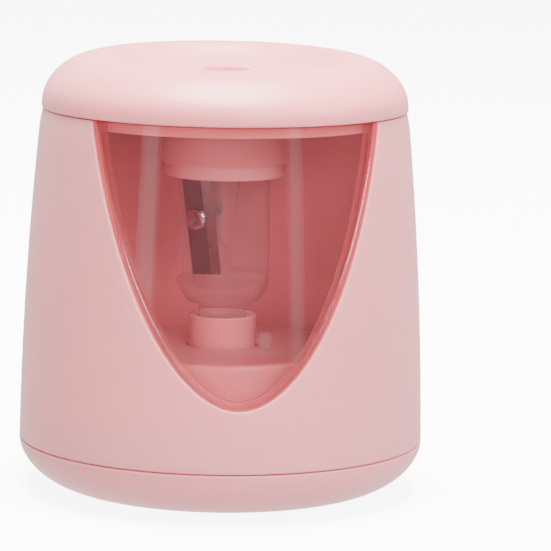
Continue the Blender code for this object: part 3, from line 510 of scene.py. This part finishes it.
def make_guide_collar():
    outer, low, high = BUSH_HIGH.x, BUSH_LOW.z, BUSH_HIGH.z
    web, core, bore, boss, boss_top = 75.2, 7.2, 4.3, 5.8, 78.9
    corners = [(outer, low, 0.35), (outer, high), (outer - 1.3, high), (outer - 1.3, web), (core, web),
               (core, high), (bore + 0.6, high), (bore, high - 0.6), (bore, boss_top), (boss, boss_top),
               (boss, web - WALL, 0.2), (outer - 1.4, web - WALL, 0.4), (outer - 1.4, low, 0.15)]
    verts, faces = turned(filleted(corners), 96)
    return mesh_piece("guide_collar", verts, faces, "inner_pink_plastic", "lid", ["guide_bush"],
                      "inner_pink_plastic")


def make_base():
    top = BASE_SEAM_Z - SEAM_GAP / 2
    floor_z, lip_outer, lip_inner, lip_top = 2.8, 40.8, 39.2, BASE_HIGH.z
    outer = base_curve(40)[:-1]
    inset = reversed(base_curve(20, inset=WALL)[3:-1])
    inner = [(min(r, lip_inner), max(z + 1.6, floor_z)) for r, z in inset]
    corners = [(0.0, BASE_BOTTOM_Z), *outer, (SEAM_R, top - 0.12), (SEAM_R - 0.04, top - 0.05),
               (SEAM_R - 0.2, top), (lip_outer, top), (lip_outer, lip_top, 0.3), (lip_inner, lip_top, 0.3)]
    corners += [point for point in inner if point[1] < top - 1.0] + [(0.0, floor_z)]
    verts, faces = turned(filleted(corners))
    base = mesh_piece("base_tub", verts, faces, "pink_plastic", "housing", ["base_cover"], "pink_plastic")
    boss = filleted([(0.0, 1.6), (4.0, 1.6), (4.0, 9.0, 0.3), (0.0, 9.0)])
    carve(base, [place(turned(boss, 40), *polar(BASE_SCREW_R, a)) for a in BASE_SCREW_ANGLES], "UNION")
    well = filleted([(0.0, -1.0), (3.4, -1.0), (3.4, BASE_BOTTOM_Z), (2.9, BASE_BOTTOM_Z + 0.5),
                     (2.9, 6.4), (1.5, 6.4), (1.5, 10.0), (0.0, 10.0)])
    pocket = [(0.0, -1.0), (4.95, -1.0), (4.95, BASE_BOTTOM_Z), (4.8, BASE_BOTTOM_Z + 0.15),
              (4.8, 1.9), (0.0, 1.9)]
    tools = [place(turned(well, 40), *polar(BASE_SCREW_R, a)) for a in BASE_SCREW_ANGLES]
    tools += [place(turned(pocket, 48), *polar(FOOT_R, a)) for a in FOOT_ANGLES]
    tools.append(block(-5.4, 5.4, 37.6, 41.6, top + 0.2, lip_top + 1.0))
    return carve(base, tools)


def make_deck():
    outer, low, tray_top, high = DECK_HIGH.x, 17.2, 18.6, DECK_HIGH.z
    wall_r, hole, under = 27.0, 7.5, DECK_HIGH.z - WALL
    corners = [(wall_r - WALL, low), (outer, low), (outer, tray_top, 0.3), (wall_r, tray_top, 1.4),
               (wall_r, high, 1.1), (hole, high, 0.25), (hole, under), (wall_r - WALL, under)]
    verts, faces = turned(filleted(corners, 6))
    deck = mesh_piece("tray_deck", verts, faces, "inner_pink_plastic", "housing", ["motor_deck"],
                      "inner_pink_plastic")
    base_post = filleted([(0.0, 9.3), (3.0, 9.3, 0.3), (3.0, low + 0.7), (0.0, low + 0.7)])
    plate_post = [(0.0, 22.5), (2.4, 22.5), (2.4, under + 0.7), (0.0, under + 0.7)]
    tools = [place(turned(base_post, 32), *polar(BASE_SCREW_R, a)) for a in BASE_SCREW_ANGLES]
    tools += [place(turned(plate_post, 32), *polar(PLATE_SCREW_R, a)) for a in PLATE_SCREW_ANGLES]
    carve(deck, tools, "UNION")
    lens_x, lens_y = (LENS_LOW.x + LENS_HIGH.x) / 2, (LENS_LOW.y + LENS_HIGH.y) / 2
    hole_tool = [(0.0, under - 2), (1.75, under - 2), (1.75, high - 0.15), (1.9, high),
                 (1.9, high + 2), (0.0, high + 2)]
    base_pilot = [(0.0, 5.0), (1.5, 5.0), (1.5, 16.6), (0.0, 16.6)]
    plate_pilot = [(0.0, 15.0), (1.2, 15.0), (1.2, 28.0), (0.0, 28.0)]
    tools = [place(turned(base_pilot, 24), *polar(BASE_SCREW_R, a)) for a in BASE_SCREW_ANGLES]
    tools += [place(turned(plate_pilot, 24), *polar(PLATE_SCREW_R, a)) for a in PLATE_SCREW_ANGLES]
    tools.append(place(turned(hole_tool, 40), lens_x, lens_y))
    return carve(deck, tools)


# ---------------------------------------------------------------- wall and window

def window_half(height):
    share = max(0.0, (height - WINDOW_APEX_Z) / (WINDOW_TOP_Z - WINDOW_APEX_Z))
    return math.radians(WINDOW_HALF_ANGLE) * share ** WINDOW_POWER * body_radius(height)


def outline_point(height, inward, last):
    """Half width along the wall and height of the window outline at a row, moved inward by mm."""
    if height <= WINDOW_APEX_Z + 1e-9:
        return 0.0, height + inward
    half = window_half(height)
    slope = WINDOW_POWER * half / (height - WINDOW_APEX_Z)
    length = math.hypot(1.0, slope)
    if last:
        return half - inward * length, height
    return half - inward / length, min(height + inward * slope / length, BODY_HIGH.z - 0.001)


def outline_rows(top, count):
    reach = top - WINDOW_APEX_Z
    return [WINDOW_APEX_Z + reach * (i / count) ** (1 / WINDOW_POWER) for i in range(count + 1)]


def rim(distance, radius=0.3):
    """How far a rounded edge falls back at a distance from it."""
    if distance >= radius:
        return 0.0
    return radius - math.sqrt(radius ** 2 - (radius - max(distance, 0.0)) ** 2)


def make_wall():
    """Tapered wall; its rows follow the window's outline in front and level out round the back."""
    rows, columns, reach = 46, 150, 4.0
    low, top = BODY_LOW.z, BODY_HIGH.z
    heights = outline_rows(top, rows)
    outer_strip = [(0.0, 0.30), (0.03, 0.16), (0.1, 0.06), (0.2, 0.012), (0.32, 0.0), (0.9, 0.0),
                   (2.0, 0.0), (reach, 0.0)]
    inner_strip = [(reach, WALL), (1.5, WALL), (0.25, WALL), (0.06, WALL - 0.08), (0.0, WALL - 0.25)]
    verts, faces = [], []

    def point(angle, height, drop):
        radius = body_radius(height) - drop
        if drop < 0.5:
            radius -= max(rim(top - height), rim(height - low))
        verts.append((radius * math.sin(angle), -radius * math.cos(angle), height))
        return len(verts) - 1

    def skin(strip, drop, i, last):
        """Vertices of one side of the wall at a row: left strip, round the back, right strip."""
        left, right = [], []
        for distance, fall in strip:
            half, height = outline_point(heights[i], -distance, last)
            angle = half / body_radius(height)
            left.append(point(-angle, height, fall))
            right.append(left[-1] if i == 0 else point(angle, height, fall))
        half, height = outline_point(heights[i], -reach, last)
        start = half / body_radius(height)
        floor = WINDOW_APEX_Z - reach
        even = floor + (top - floor) * i / rows
        around = []
        for j in range(1, columns):
            share = min(1.0, 2.4 * min(j, columns - j) / columns)
            share = share * share * (3 - 2 * share)
            angle = -start - (2 * math.pi - 2 * start) * j / columns
            around.append(point(angle, height + (even - height) * share, drop))
        return left, around, right

    previous = None
    for i in range(rows + 1):
        last = i == rows
        left, around, right = skin(outer_strip, 0.0, i, last)
        loop = left + around + right[::-1]
        left, around_in, right = skin(inner_strip[::-1], WALL, i, last)
        loop_in = left + around_in + right[::-1]
        if previous:
            for a, b in ((previous[0], loop), (previous[1], loop_in)):
                for k in range(len(a) - 1):
                    faces.append((a[k], a[k + 1], b[k + 1], b[k]))
            for k in (0, -1):
                faces.append((previous[0][k], previous[1][k], loop_in[k], loop[k]))
        else:
            first = (loop, loop_in)
        previous = (loop, loop_in)
    outer_n, inner_n = len(outer_strip), len(inner_strip)
    top_outer, top_inner = previous
    # The top rim joins the two skins. Their strips differ in number, so the spare points fan out.
    faces += bridge(top_outer, top_inner, verts)
    ring = (first[0][outer_n - 1:outer_n + columns - 1], first[1][inner_n - 1:inner_n + columns - 1])
    floor = WINDOW_APEX_Z - reach
    steps = [floor - (floor - low) * k / 7 for k in range(1, 7)]
    steps += [low + 0.32, low + 0.16, low + 0.06, low]
    for height in steps:
        rings = []
        for drop in (0.0, WALL):
            rings.append([point(-2 * math.pi * j / columns, height, drop) for j in range(columns)])
        for a, b in zip(ring, rings):
            for k in range(columns):
                faces.append((a[k], a[(k + 1) % columns], b[(k + 1) % columns], b[k]))
        ring = rings
    for k in range(columns):
        faces.append((ring[0][k], ring[0][(k + 1) % columns], ring[1][(k + 1) % columns], ring[1][k]))
    wall = mesh_piece("body_wall", verts, faces, "pink_plastic", "housing", ["body_shell"], "pink_plastic")
    hole = [(0.0, 36.0), (SOCKET_HOLE_R, 36.0), (SOCKET_HOLE_R, 42.6),
            (SOCKET_HOLE_R + 0.5, 43.1), (SOCKET_HOLE_R + 0.5, 46.0), (0.0, 46.0)]
    carve(wall, [laid(turned(hole, 48), z=SOCKET_Z)])
    # Faces on the inside of the wall get the darker pink: painted shade for the chamber.
    wall.data.materials.append(MATERIALS["chamber_shaded_plastic"])
    for face in wall.data.polygons:
        height = face.center.z / MM
        if math.hypot(face.center.x, face.center.y) / MM < body_radius(height) - WALL + 0.1:
            face.material_index = 1
    return wall


def bridge(a, b, verts):
    """Faces between two rows of points that start and end together but differ in number."""
    faces, i, j = [], 0, 0
    while i < len(a) - 1 or j < len(b) - 1:
        ahead_a = (Vector(verts[a[i + 1]]) - Vector(verts[b[j]])).length if i < len(a) - 1 else math.inf
        ahead_b = (Vector(verts[a[i]]) - Vector(verts[b[j + 1]])).length if j < len(b) - 1 else math.inf
        if ahead_a <= ahead_b:
            faces.append((a[i], a[i + 1], b[j]))
            i += 1
        else:
            faces.append((a[i], b[j + 1], b[j]))
            j += 1
    return faces


def make_pane():
    """Window pane: a raised border round a slightly sunk field, and a flange behind the wall."""
    rows, columns = 44, 40
    top = BODY_HIGH.z
    sunk, back, thick_back = 0.32, 2.35, 2.95
    front_strip = [(0.0, 0.25), (0.05, 0.12), (0.14, 0.03), (0.3, 0.0), (1.0, 0.0), (1.12, 0.05),
                   (1.3, sunk - 0.05), (1.42, sunk), (2.2, sunk)]
    back_strip = [(2.2, back), (1.5, back), (1.2, thick_back)]
    heights = outline_rows(top, rows)
    verts, faces, finishes = [], [], []
    clear, border, edge = 0, 1, 2
    border_faces = len(front_strip) - 1

    def point(angle, height, drop):
        radius = body_radius(height) - drop
        verts.append((radius * math.sin(angle), -radius * math.cos(angle), height))
        return len(verts) - 1

    previous = None
    for i, row_height in enumerate(heights):
        last = i == rows
        spread = 1.7 * min(1.0, max(0.03, (FLANGE_TOP_Z - row_height) / 0.8))
        flange = [(0.0, WALL + 0.3), (-spread, WALL + 0.3), (-spread, thick_back)]
        strip = front_strip[::-1] + flange + back_strip[::-1]
        left, right = [], []
        for distance, drop in strip:
            half, height = outline_point(row_height, distance + PANE_GAP, last)
            angle = half / body_radius(height)
            left.append(point(-angle, height, drop))
            right.append(left[-1] if i == 0 else point(angle, height, drop))
        fills = []
        for end, drop in ((0, sunk), (-1, back)):
            half, height = outline_point(row_height, strip[end][0] + PANE_GAP, last)
            limit = half / body_radius(height)
            if i == 0:
                fills.append([left[end]] * (columns - 1))
            else:
                shares = [2 * j / columns - 1 for j in range(1, columns)]
                fills.append([point(limit * share, height, drop) for share in shares])
        front_row = [left[0], *fills[0], right[0]]
        back_row = [left[-1], *fills[1], right[-1]]
        if previous:
            p_left, p_right, p_front, p_back = previous
            for a, b in ((p_left, left), (p_right, right), (p_front, front_row), (p_back, back_row)):
                for k in range(len(a) - 1):
                    faces.append((a[k], a[k + 1], b[k + 1], b[k]))
                    inside = len(a) != len(left) or k == 0 or k == len(a) - 2
                    finishes.append(clear if inside else border if k < border_faces else edge)
        previous = (left, right, front_row, back_row)
    left, right, front_row, back_row = previous
    for k in range(columns):
        faces.append((front_row[k], front_row[k + 1], back_row[k + 1], back_row[k]))
    for side in (left, right):
        half = len(side) // 2
        faces += bridge(side[:half + 1], side[half:][::-1], verts)
    finishes += [edge] * (len(faces) - len(finishes))
    pane = mesh_piece("window_pane", verts, faces, "tinted_window", "housing", ["window_panel"],
                      "tinted_window", 30.0, finishes)
    pane.data.materials.append(MATERIALS["window_border"])
    pane.data.materials.append(MATERIALS["window_edge"])
    return pane


# ---------------------------------------------------------------- cutter, cup and lens

def cone_radius(height):
    return CONE_TIP_R + (CONE_TOP_R - CONE_TIP_R) * (height - CONE_TIP_Z) / (CONE_TOP_Z - CONE_TIP_Z)


def on_blade_face(solid, lift=0.0, shift=0.0):
    """Place a solid given on the blade face: x across, y out of the face, z up from mid blade."""
    verts, faces = solid
    lean = Matrix.Rotation(math.atan2(CONE_TOP_R - CONE_TIP_R, CONE_TOP_Z - CONE_TIP_Z), 4, "X")
    origin = Vector((0.0, -cone_radius(BLADE_MID_Z), BLADE_MID_Z))
    placed = [lean @ Vector((x + shift, -(y + lift), z)) + origin for x, y, z in verts]
    return place((placed, faces), turn=CUTTER_TURN)


def out_of_face(solid):
    """Swap height for reach out of the face."""
    verts, faces = solid
    return [(x, z, y) for x, y, z in verts], faces


def make_cutter():
    block_r, low, high = 9.8, 43.4, 72.4
    boss_r, boss_high = 5.45, CUTTER_HIGH.z
    stem_r, stem_low = 5.2, CUTTER_LOW.z
    corners = [(0.0, stem_low), (stem_r, stem_low, 0.4), (stem_r, 39.6), (7.6, 40.0, 0.5),
               (block_r, low, 1.2), (block_r, high, 0.5), (boss_r, high, 0.3), (boss_r, boss_high, 0.4),
               (CONE_TOP_R, boss_high, 0.3), (CONE_TOP_R, CONE_TOP_Z), (CONE_TIP_R, CONE_TIP_Z),
               (0.0, CONE_TIP_Z - 0.6)]
    verts, faces = place(turned(filleted(corners), 96), turn=CUTTER_TURN)
    cutter = mesh_piece("cutter_block", verts, faces, "clear_plastic", "spindle", ["cutter_body"],
                        "clear_plastic")
    tools = [on_blade_face(block(-14.0, 14.0, 0.0, 14.0, -12.6, 13.4)),
             on_blade_face(block(0.9, 14.0, -3.4, 1.0, -11.2, 11.6)),
             on_blade_face(out_of_face(turned([(0.0, -8.0), (1.5, -8.0), (1.5, 2.0), (0.0, 2.0)], 32)),
                           shift=SCREW_OFFSET)]
    tools += [place(block(-8.0, 8.0, 4.2, 8.0, 32.0, 39.0), turn=CUTTER_TURN),
              place(block(-8.0, 8.0, -8.0, -4.2, 32.0, 39.0), turn=CUTTER_TURN)]
    return carve(cutter, tools)


def make_blade():
    half, back, edge, thick = 12.0, -7.3, -0.7, 0.6
    section = filleted([(back, 0.0, 0.05), (edge, 0.0), (edge, 0.05), (edge - BLADE_BEVEL, thick - 0.03),
                        (edge - BLADE_BEVEL - 0.1, thick), (back, thick, 0.08)])
    skew = Matrix.Rotation(math.radians(BLADE_SKEW), 4, "Y")
    verts, faces = prism(section, -half, half)
    placed = on_blade_face(([skew @ Vector(co) for co in verts], faces), lift=0.3)
    blade = mesh_piece("ground_blade", *placed, "blade_steel", "spindle", ["cutter_blade"], "blade_steel",
                       20.0)
    hole = turned([(0.0, -2.0), (1.5, -2.0), (1.5, 3.0), (0.0, 3.0)], 32)
    carve(blade, [on_blade_face(out_of_face(hole), shift=SCREW_OFFSET)])
    blade.data.materials.append(MATERIALS["blade_edge"])
    slope = (thick - 0.08) / BLADE_BEVEL
    lean = on_blade_face(([Vector((0, 0, 0)), Vector((slope, 1.0, 0))], []))[0]
    bevel_normal = (lean[1] - lean[0]).normalized()
    for face in blade.data.polygons:
        if face.normal.dot(bevel_normal) > 0.99:
            face.material_index = 1
    return blade


def cross_outline(arm, half):
    quarter = [(arm, -half), (arm, half), (half, half)]
    outline = []
    for _ in range(4):
        outline += quarter
        quarter = [(-y, x) for x, y in quarter]
    return outline


def make_blade_screw():
    seat = 1.2
    angles = [k * math.pi / 24 for k in range(12)]
    head = [(2.35 * math.cos(a), seat + 0.45 + 0.95 * math.sin(a)) for a in angles]
    profile = [(0.0, -7.4), (0.5, -7.4), (1.2, -7.0), (1.2, seat), (2.2, seat), (2.35, seat + 0.15), *head,
               (0.0, seat + 1.4)]
    placed = on_blade_face(out_of_face(turned(profile, 48)), shift=SCREW_OFFSET)
    screw = mesh_piece("pan_screw", *placed, "steel", "spindle", ["blade_screw"], "steel")
    recess = prism(cross_outline(1.25, 0.3), seat + 0.5, seat + 2.0)
    return carve(screw, [on_blade_face(out_of_face(place(recess, turn=20.0)), shift=SCREW_OFFSET)])


def make_cup():
    low, high, radius, floor = CUP_LOW.z, CUP_HIGH.z, 7.2, 33.0
    corners = [(0.0, low), (radius, low, 0.3), (radius, high, 0.35), (6.2, high, 0.15),
               (5.5, high - 1.0, 0.2), (5.5, floor), (0.0, floor)]
    verts, faces = turned(filleted(corners, 5), 96)
    cup = mesh_piece("cup_shell", verts, faces, "inner_pink_plastic", "spindle", ["drive_cup"],
                     "inner_pink_plastic")
    keys = [place(block(-3.3, 3.3, 4.5, 6.2, floor - 0.5, 35.6), turn=CUTTER_TURN),
            place(block(-3.3, 3.3, -6.2, -4.5, floor - 0.5, 35.6), turn=CUTTER_TURN)]
    carve(cup, keys, "UNION")
    return carve(cup, [block(-1.9, 1.9, -1.9, 1.9, 28.0, 34.0)])


def make_lens():
    x, y = (LENS_LOW.x + LENS_HIGH.x) / 2, (LENS_LOW.y + LENS_HIGH.y) / 2
    radius = 1.5
    shoulder = LENS_HIGH.z - radius
    angles = [k * math.pi / 28 for k in range(14)]
    dome = [(radius * math.cos(a), shoulder + radius * math.sin(a)) for a in angles]
    profile = [(0.0, LENS_LOW.z), (radius, LENS_LOW.z), *dome, (0.0, LENS_HIGH.z)]
    return mesh_piece("indicator_dome", *place(turned(profile, 48), x, y), "indicator_plastic", "housing",
                      ["indicator_lens"], "indicator_plastic")


def make_feet():
    profile = filleted([(0.0, 0.0), (4.5, 0.0, 0.45), (4.5, 1.6, 0.1), (0.0, 1.6)])
    for number, angle in enumerate(FOOT_ANGLES, 1):
        solid = place(turned(profile, FINE), *polar(FOOT_R, angle))
        mesh_piece(f"pad_{number}", *solid, "rubber", "housing", [f"foot_{number}"], "rubber")


def make_base_screws():
    head, seat, shank, tip = 2.5, 6.1, 1.2, 15.6
    corners = [(0.0, 4.6), (head, 4.6, 0.5), (head, seat, 0.1), (shank, seat), (shank, tip - 1.0),
               (0.3, tip), (0.0, tip)]
    recess = prism(cross_outline(1.4, 0.32), 3.8, 5.4)
    for number, angle in enumerate(BASE_SCREW_ANGLES, 1):
        solid = place(turned(filleted(corners), 40), *polar(BASE_SCREW_R, angle))
        screw = mesh_piece(f"cross_screw_{number}", *solid, "steel", "housing", [f"base_screw_{number}"],
                           "steel")
        carve(screw, [place(place(recess, turn=17.0 * number), *polar(BASE_SCREW_R, angle))])


def make_socket():
    low, high = (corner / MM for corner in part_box("charge_socket"))
    body = block(low.x, high.x, low.y, 38.6, low.z, high.z)
    socket = mesh_piece("socket_body", *body, "dark_plastic", "housing", ["charge_socket"],
                        "dark_plastic")
    nose = filleted([(0.0, 38.0), (2.05, 38.0), (2.05, high.y, 0.3), (0.0, high.y)])
    carve(socket, [laid(turned(nose, 48), z=SOCKET_Z)], "UNION")
    bore = [(0.0, 31.0), (1.5, 31.0), (1.5, high.y - 0.3), (1.75, high.y), (1.75, high.y + 2),
            (0.0, high.y + 2)]
    carve(socket, [laid(turned(bore, 48), z=SOCKET_Z)])
    return socket


def make_press_spring():
    """Coil, level for most of its first and last turn. The real spring shortens as the pencil is pressed
    down; this mesh keeps one length.
    """
    low, high = (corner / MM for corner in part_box("press_spring"))
    wire, turns, steps, sides = 0.33, 3.5, 168, 12
    edge = 0.35                 # from the wire's middle to the outside of the CAD spring
    level = 0.22                # share of the wire's length that stays level at each end
    mean, rise, tall = high.x - edge, high.z - low.z - 2 * edge, high.z - low.z
    section = circle(wire, sides)
    verts = []
    for i in range(steps + 1):
        angle = 2 * math.pi * turns * i / steps
        share = min(1.0, max(0.0, (i / steps - level) / (1 - 2 * level)))
        height = low.z + edge + rise * share
        for x, z in section:
            verts.append(((mean + x) * math.cos(angle), (mean + x) * math.sin(angle), height + z))
    faces = [tuple(range(sides)), tuple(range(steps * sides, (steps + 1) * sides))]
    for i in range(steps):
        for k in range(sides):
            a, b = i * sides + k, i * sides + (k + 1) % sides
            faces.append((a, b, b + sides, a + sides))
    spring = mesh_piece("coil_spring", verts, faces, "steel", "housing", ["press_spring"], "steel")
    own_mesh(spring)


# ---------------------------------------------------------------- stage

def make_floor():
    half_m, drop_m = 3.0, 0.00005
    mesh = bpy.data.meshes.new("floor")
    corners = [(-half_m, -half_m, 0), (half_m, -half_m, 0), (half_m, half_m, 0), (-half_m, half_m, 0)]
    mesh.from_pydata(corners, [], [(0, 1, 2, 3)])
    floor = bpy.data.objects.new("floor", mesh)
    floor.location.z = -drop_m
    bpy.context.scene.collection.objects.link(floor)
    material = bpy.data.materials.new("pale_floor")
    material.use_nodes = True
    shader = material.node_tree.nodes["Principled BSDF"]
    shader.inputs["Base Color"].default_value = (0.9, 0.9, 0.9, 1.0)
    shader.inputs["Roughness"].default_value = 0.6
    shader.inputs["Specular IOR Level"].default_value = 0.1
    shader.inputs["Emission Color"].default_value = (1.0, 1.0, 1.0, 1.0)
    shader.inputs["Emission Strength"].default_value = 7.0
    mesh.materials.append(material)
    floor.visible_diffuse = False
    floor.visible_glossy = False
    floor.visible_transmission = False
    floor.visible_shadow = False


def make_light(name, place_m, aim_m, size_m, power, colour=(1.0, 1.0, 1.0)):
    data = bpy.data.lights.new(name, "AREA")
    data.shape = "RECTANGLE"
    data.size, data.size_y = size_m
    data.energy = power
    data.color = colour
    lamp = bpy.data.objects.new(name, data)
    lamp.location = place_m
    lamp.rotation_euler = (Vector(aim_m) - Vector(place_m)).to_track_quat("-Z", "Y").to_euler()
    bpy.context.scene.collection.objects.link(lamp)
    return lamp


def make_lights():
    world = bpy.data.worlds.new("studio")
    bpy.context.scene.world = world
    world.use_nodes = True
    tree = world.node_tree
    background = tree.nodes["Background"]
    direction = tree.nodes.new("ShaderNodeTexCoord")
    parts = tree.nodes.new("ShaderNodeSeparateXYZ")
    tree.links.new(direction.outputs["Generated"], parts.inputs["Vector"])
    shares = []
    glows = (("Z", -0.35, -0.08, GROUND_GLOW, SKY_GLOW), ("Y", 0.1, 0.8, 0.0, BACK_GLOW))
    for axis, start, end, low, high in glows:
        share = tree.nodes.new("ShaderNodeMapRange")
        share.inputs["From Min"].default_value, share.inputs["From Max"].default_value = start, end
        share.inputs["To Min"].default_value, share.inputs["To Max"].default_value = low, high
        tree.links.new(parts.outputs[axis], share.inputs["Value"])
        shares.append(share.outputs["Result"])
    total = tree.nodes.new("ShaderNodeMath")
    tree.links.new(shares[0], total.inputs[0])
    tree.links.new(shares[1], total.inputs[1])
    tree.links.new(total.outputs[0], background.inputs["Strength"])
    background.inputs["Color"].default_value = (1.0, 1.0, 1.0, 1.0)
    centre = (0.0, 0.0, 0.05)
    make_light("overhead", (0.0, 0.0, 1.2), centre, (0.6, 0.6), 84.0)
    make_light("front_key", (0.28, -1.06, 0.52), centre, (0.4, 0.25), 10.5)
    low_front = make_light("low_front", (-0.1, -1.1, 0.2), centre, (0.9, 0.3), 11.0)
    low_front.visible_glossy = False
    make_light("right_fill", (0.9, -0.5, 0.7), centre, (0.5, 0.5), 11.0)
    make_light("left_strip", (-0.83, -0.67, 0.15), centre, (0.2, 0.9), 0.9)
    make_light("right_strip", (0.54, -0.68, 0.15), centre, (0.12, 0.9), 0.4)


def make_camera():
    """Long lens, a little above the top edge and a few degrees to the left of the window's middle."""
    distance_m, height_m, azimuth = 0.7385, 0.1584, math.radians(-5.1)
    lens, roll = 229.0, math.radians(1.0)
    eye = Vector((distance_m * math.sin(azimuth), -distance_m * math.cos(azimuth), height_m))
    target = Vector((0.0, 0.0, 0.045))
    forward = (target - eye).normalized()
    right = forward.cross(Vector((0, 0, 1))).normalized()
    up = right.cross(forward)
    shift_right_m, shift_up_m = 0.01126, 0.00035
    aim = target + right * shift_right_m + up * shift_up_m
    data = bpy.data.cameras.new("camera")
    data.lens = lens
    data.sensor_width = 36.0
    data.clip_start, data.clip_end = 0.01, 20.0
    camera = bpy.data.objects.new("camera", data)
    facing = (aim - eye).to_track_quat("-Z", "Y").to_matrix().to_4x4()
    camera.matrix_world = Matrix.Translation(eye) @ facing @ Matrix.Rotation(roll, 4, "Z")
    bpy.context.scene.collection.objects.link(camera)
    bpy.context.scene.camera = camera


# ---------------------------------------------------------------- build

def dress_frame_nodes():
    """Give every CAD node the material of its slot in the record."""
    for part in frame["record"]["subparts"]:
        node = frame["nodes"].get(part["node"])
        if node is None:
            continue
        node.data.materials.clear()
        node.data.materials.append(MATERIALS[part["material_slot"]])


make_camera()
make_lights()
make_floor()
dress_frame_nodes()
make_base()
make_wall()
make_pane()
make_deck()
make_lid()
make_guide_collar()
make_cutter()
make_blade()
make_blade_screw()
make_cup()
make_lens()
make_feet()
make_base_screws()
make_socket()
make_press_spring()
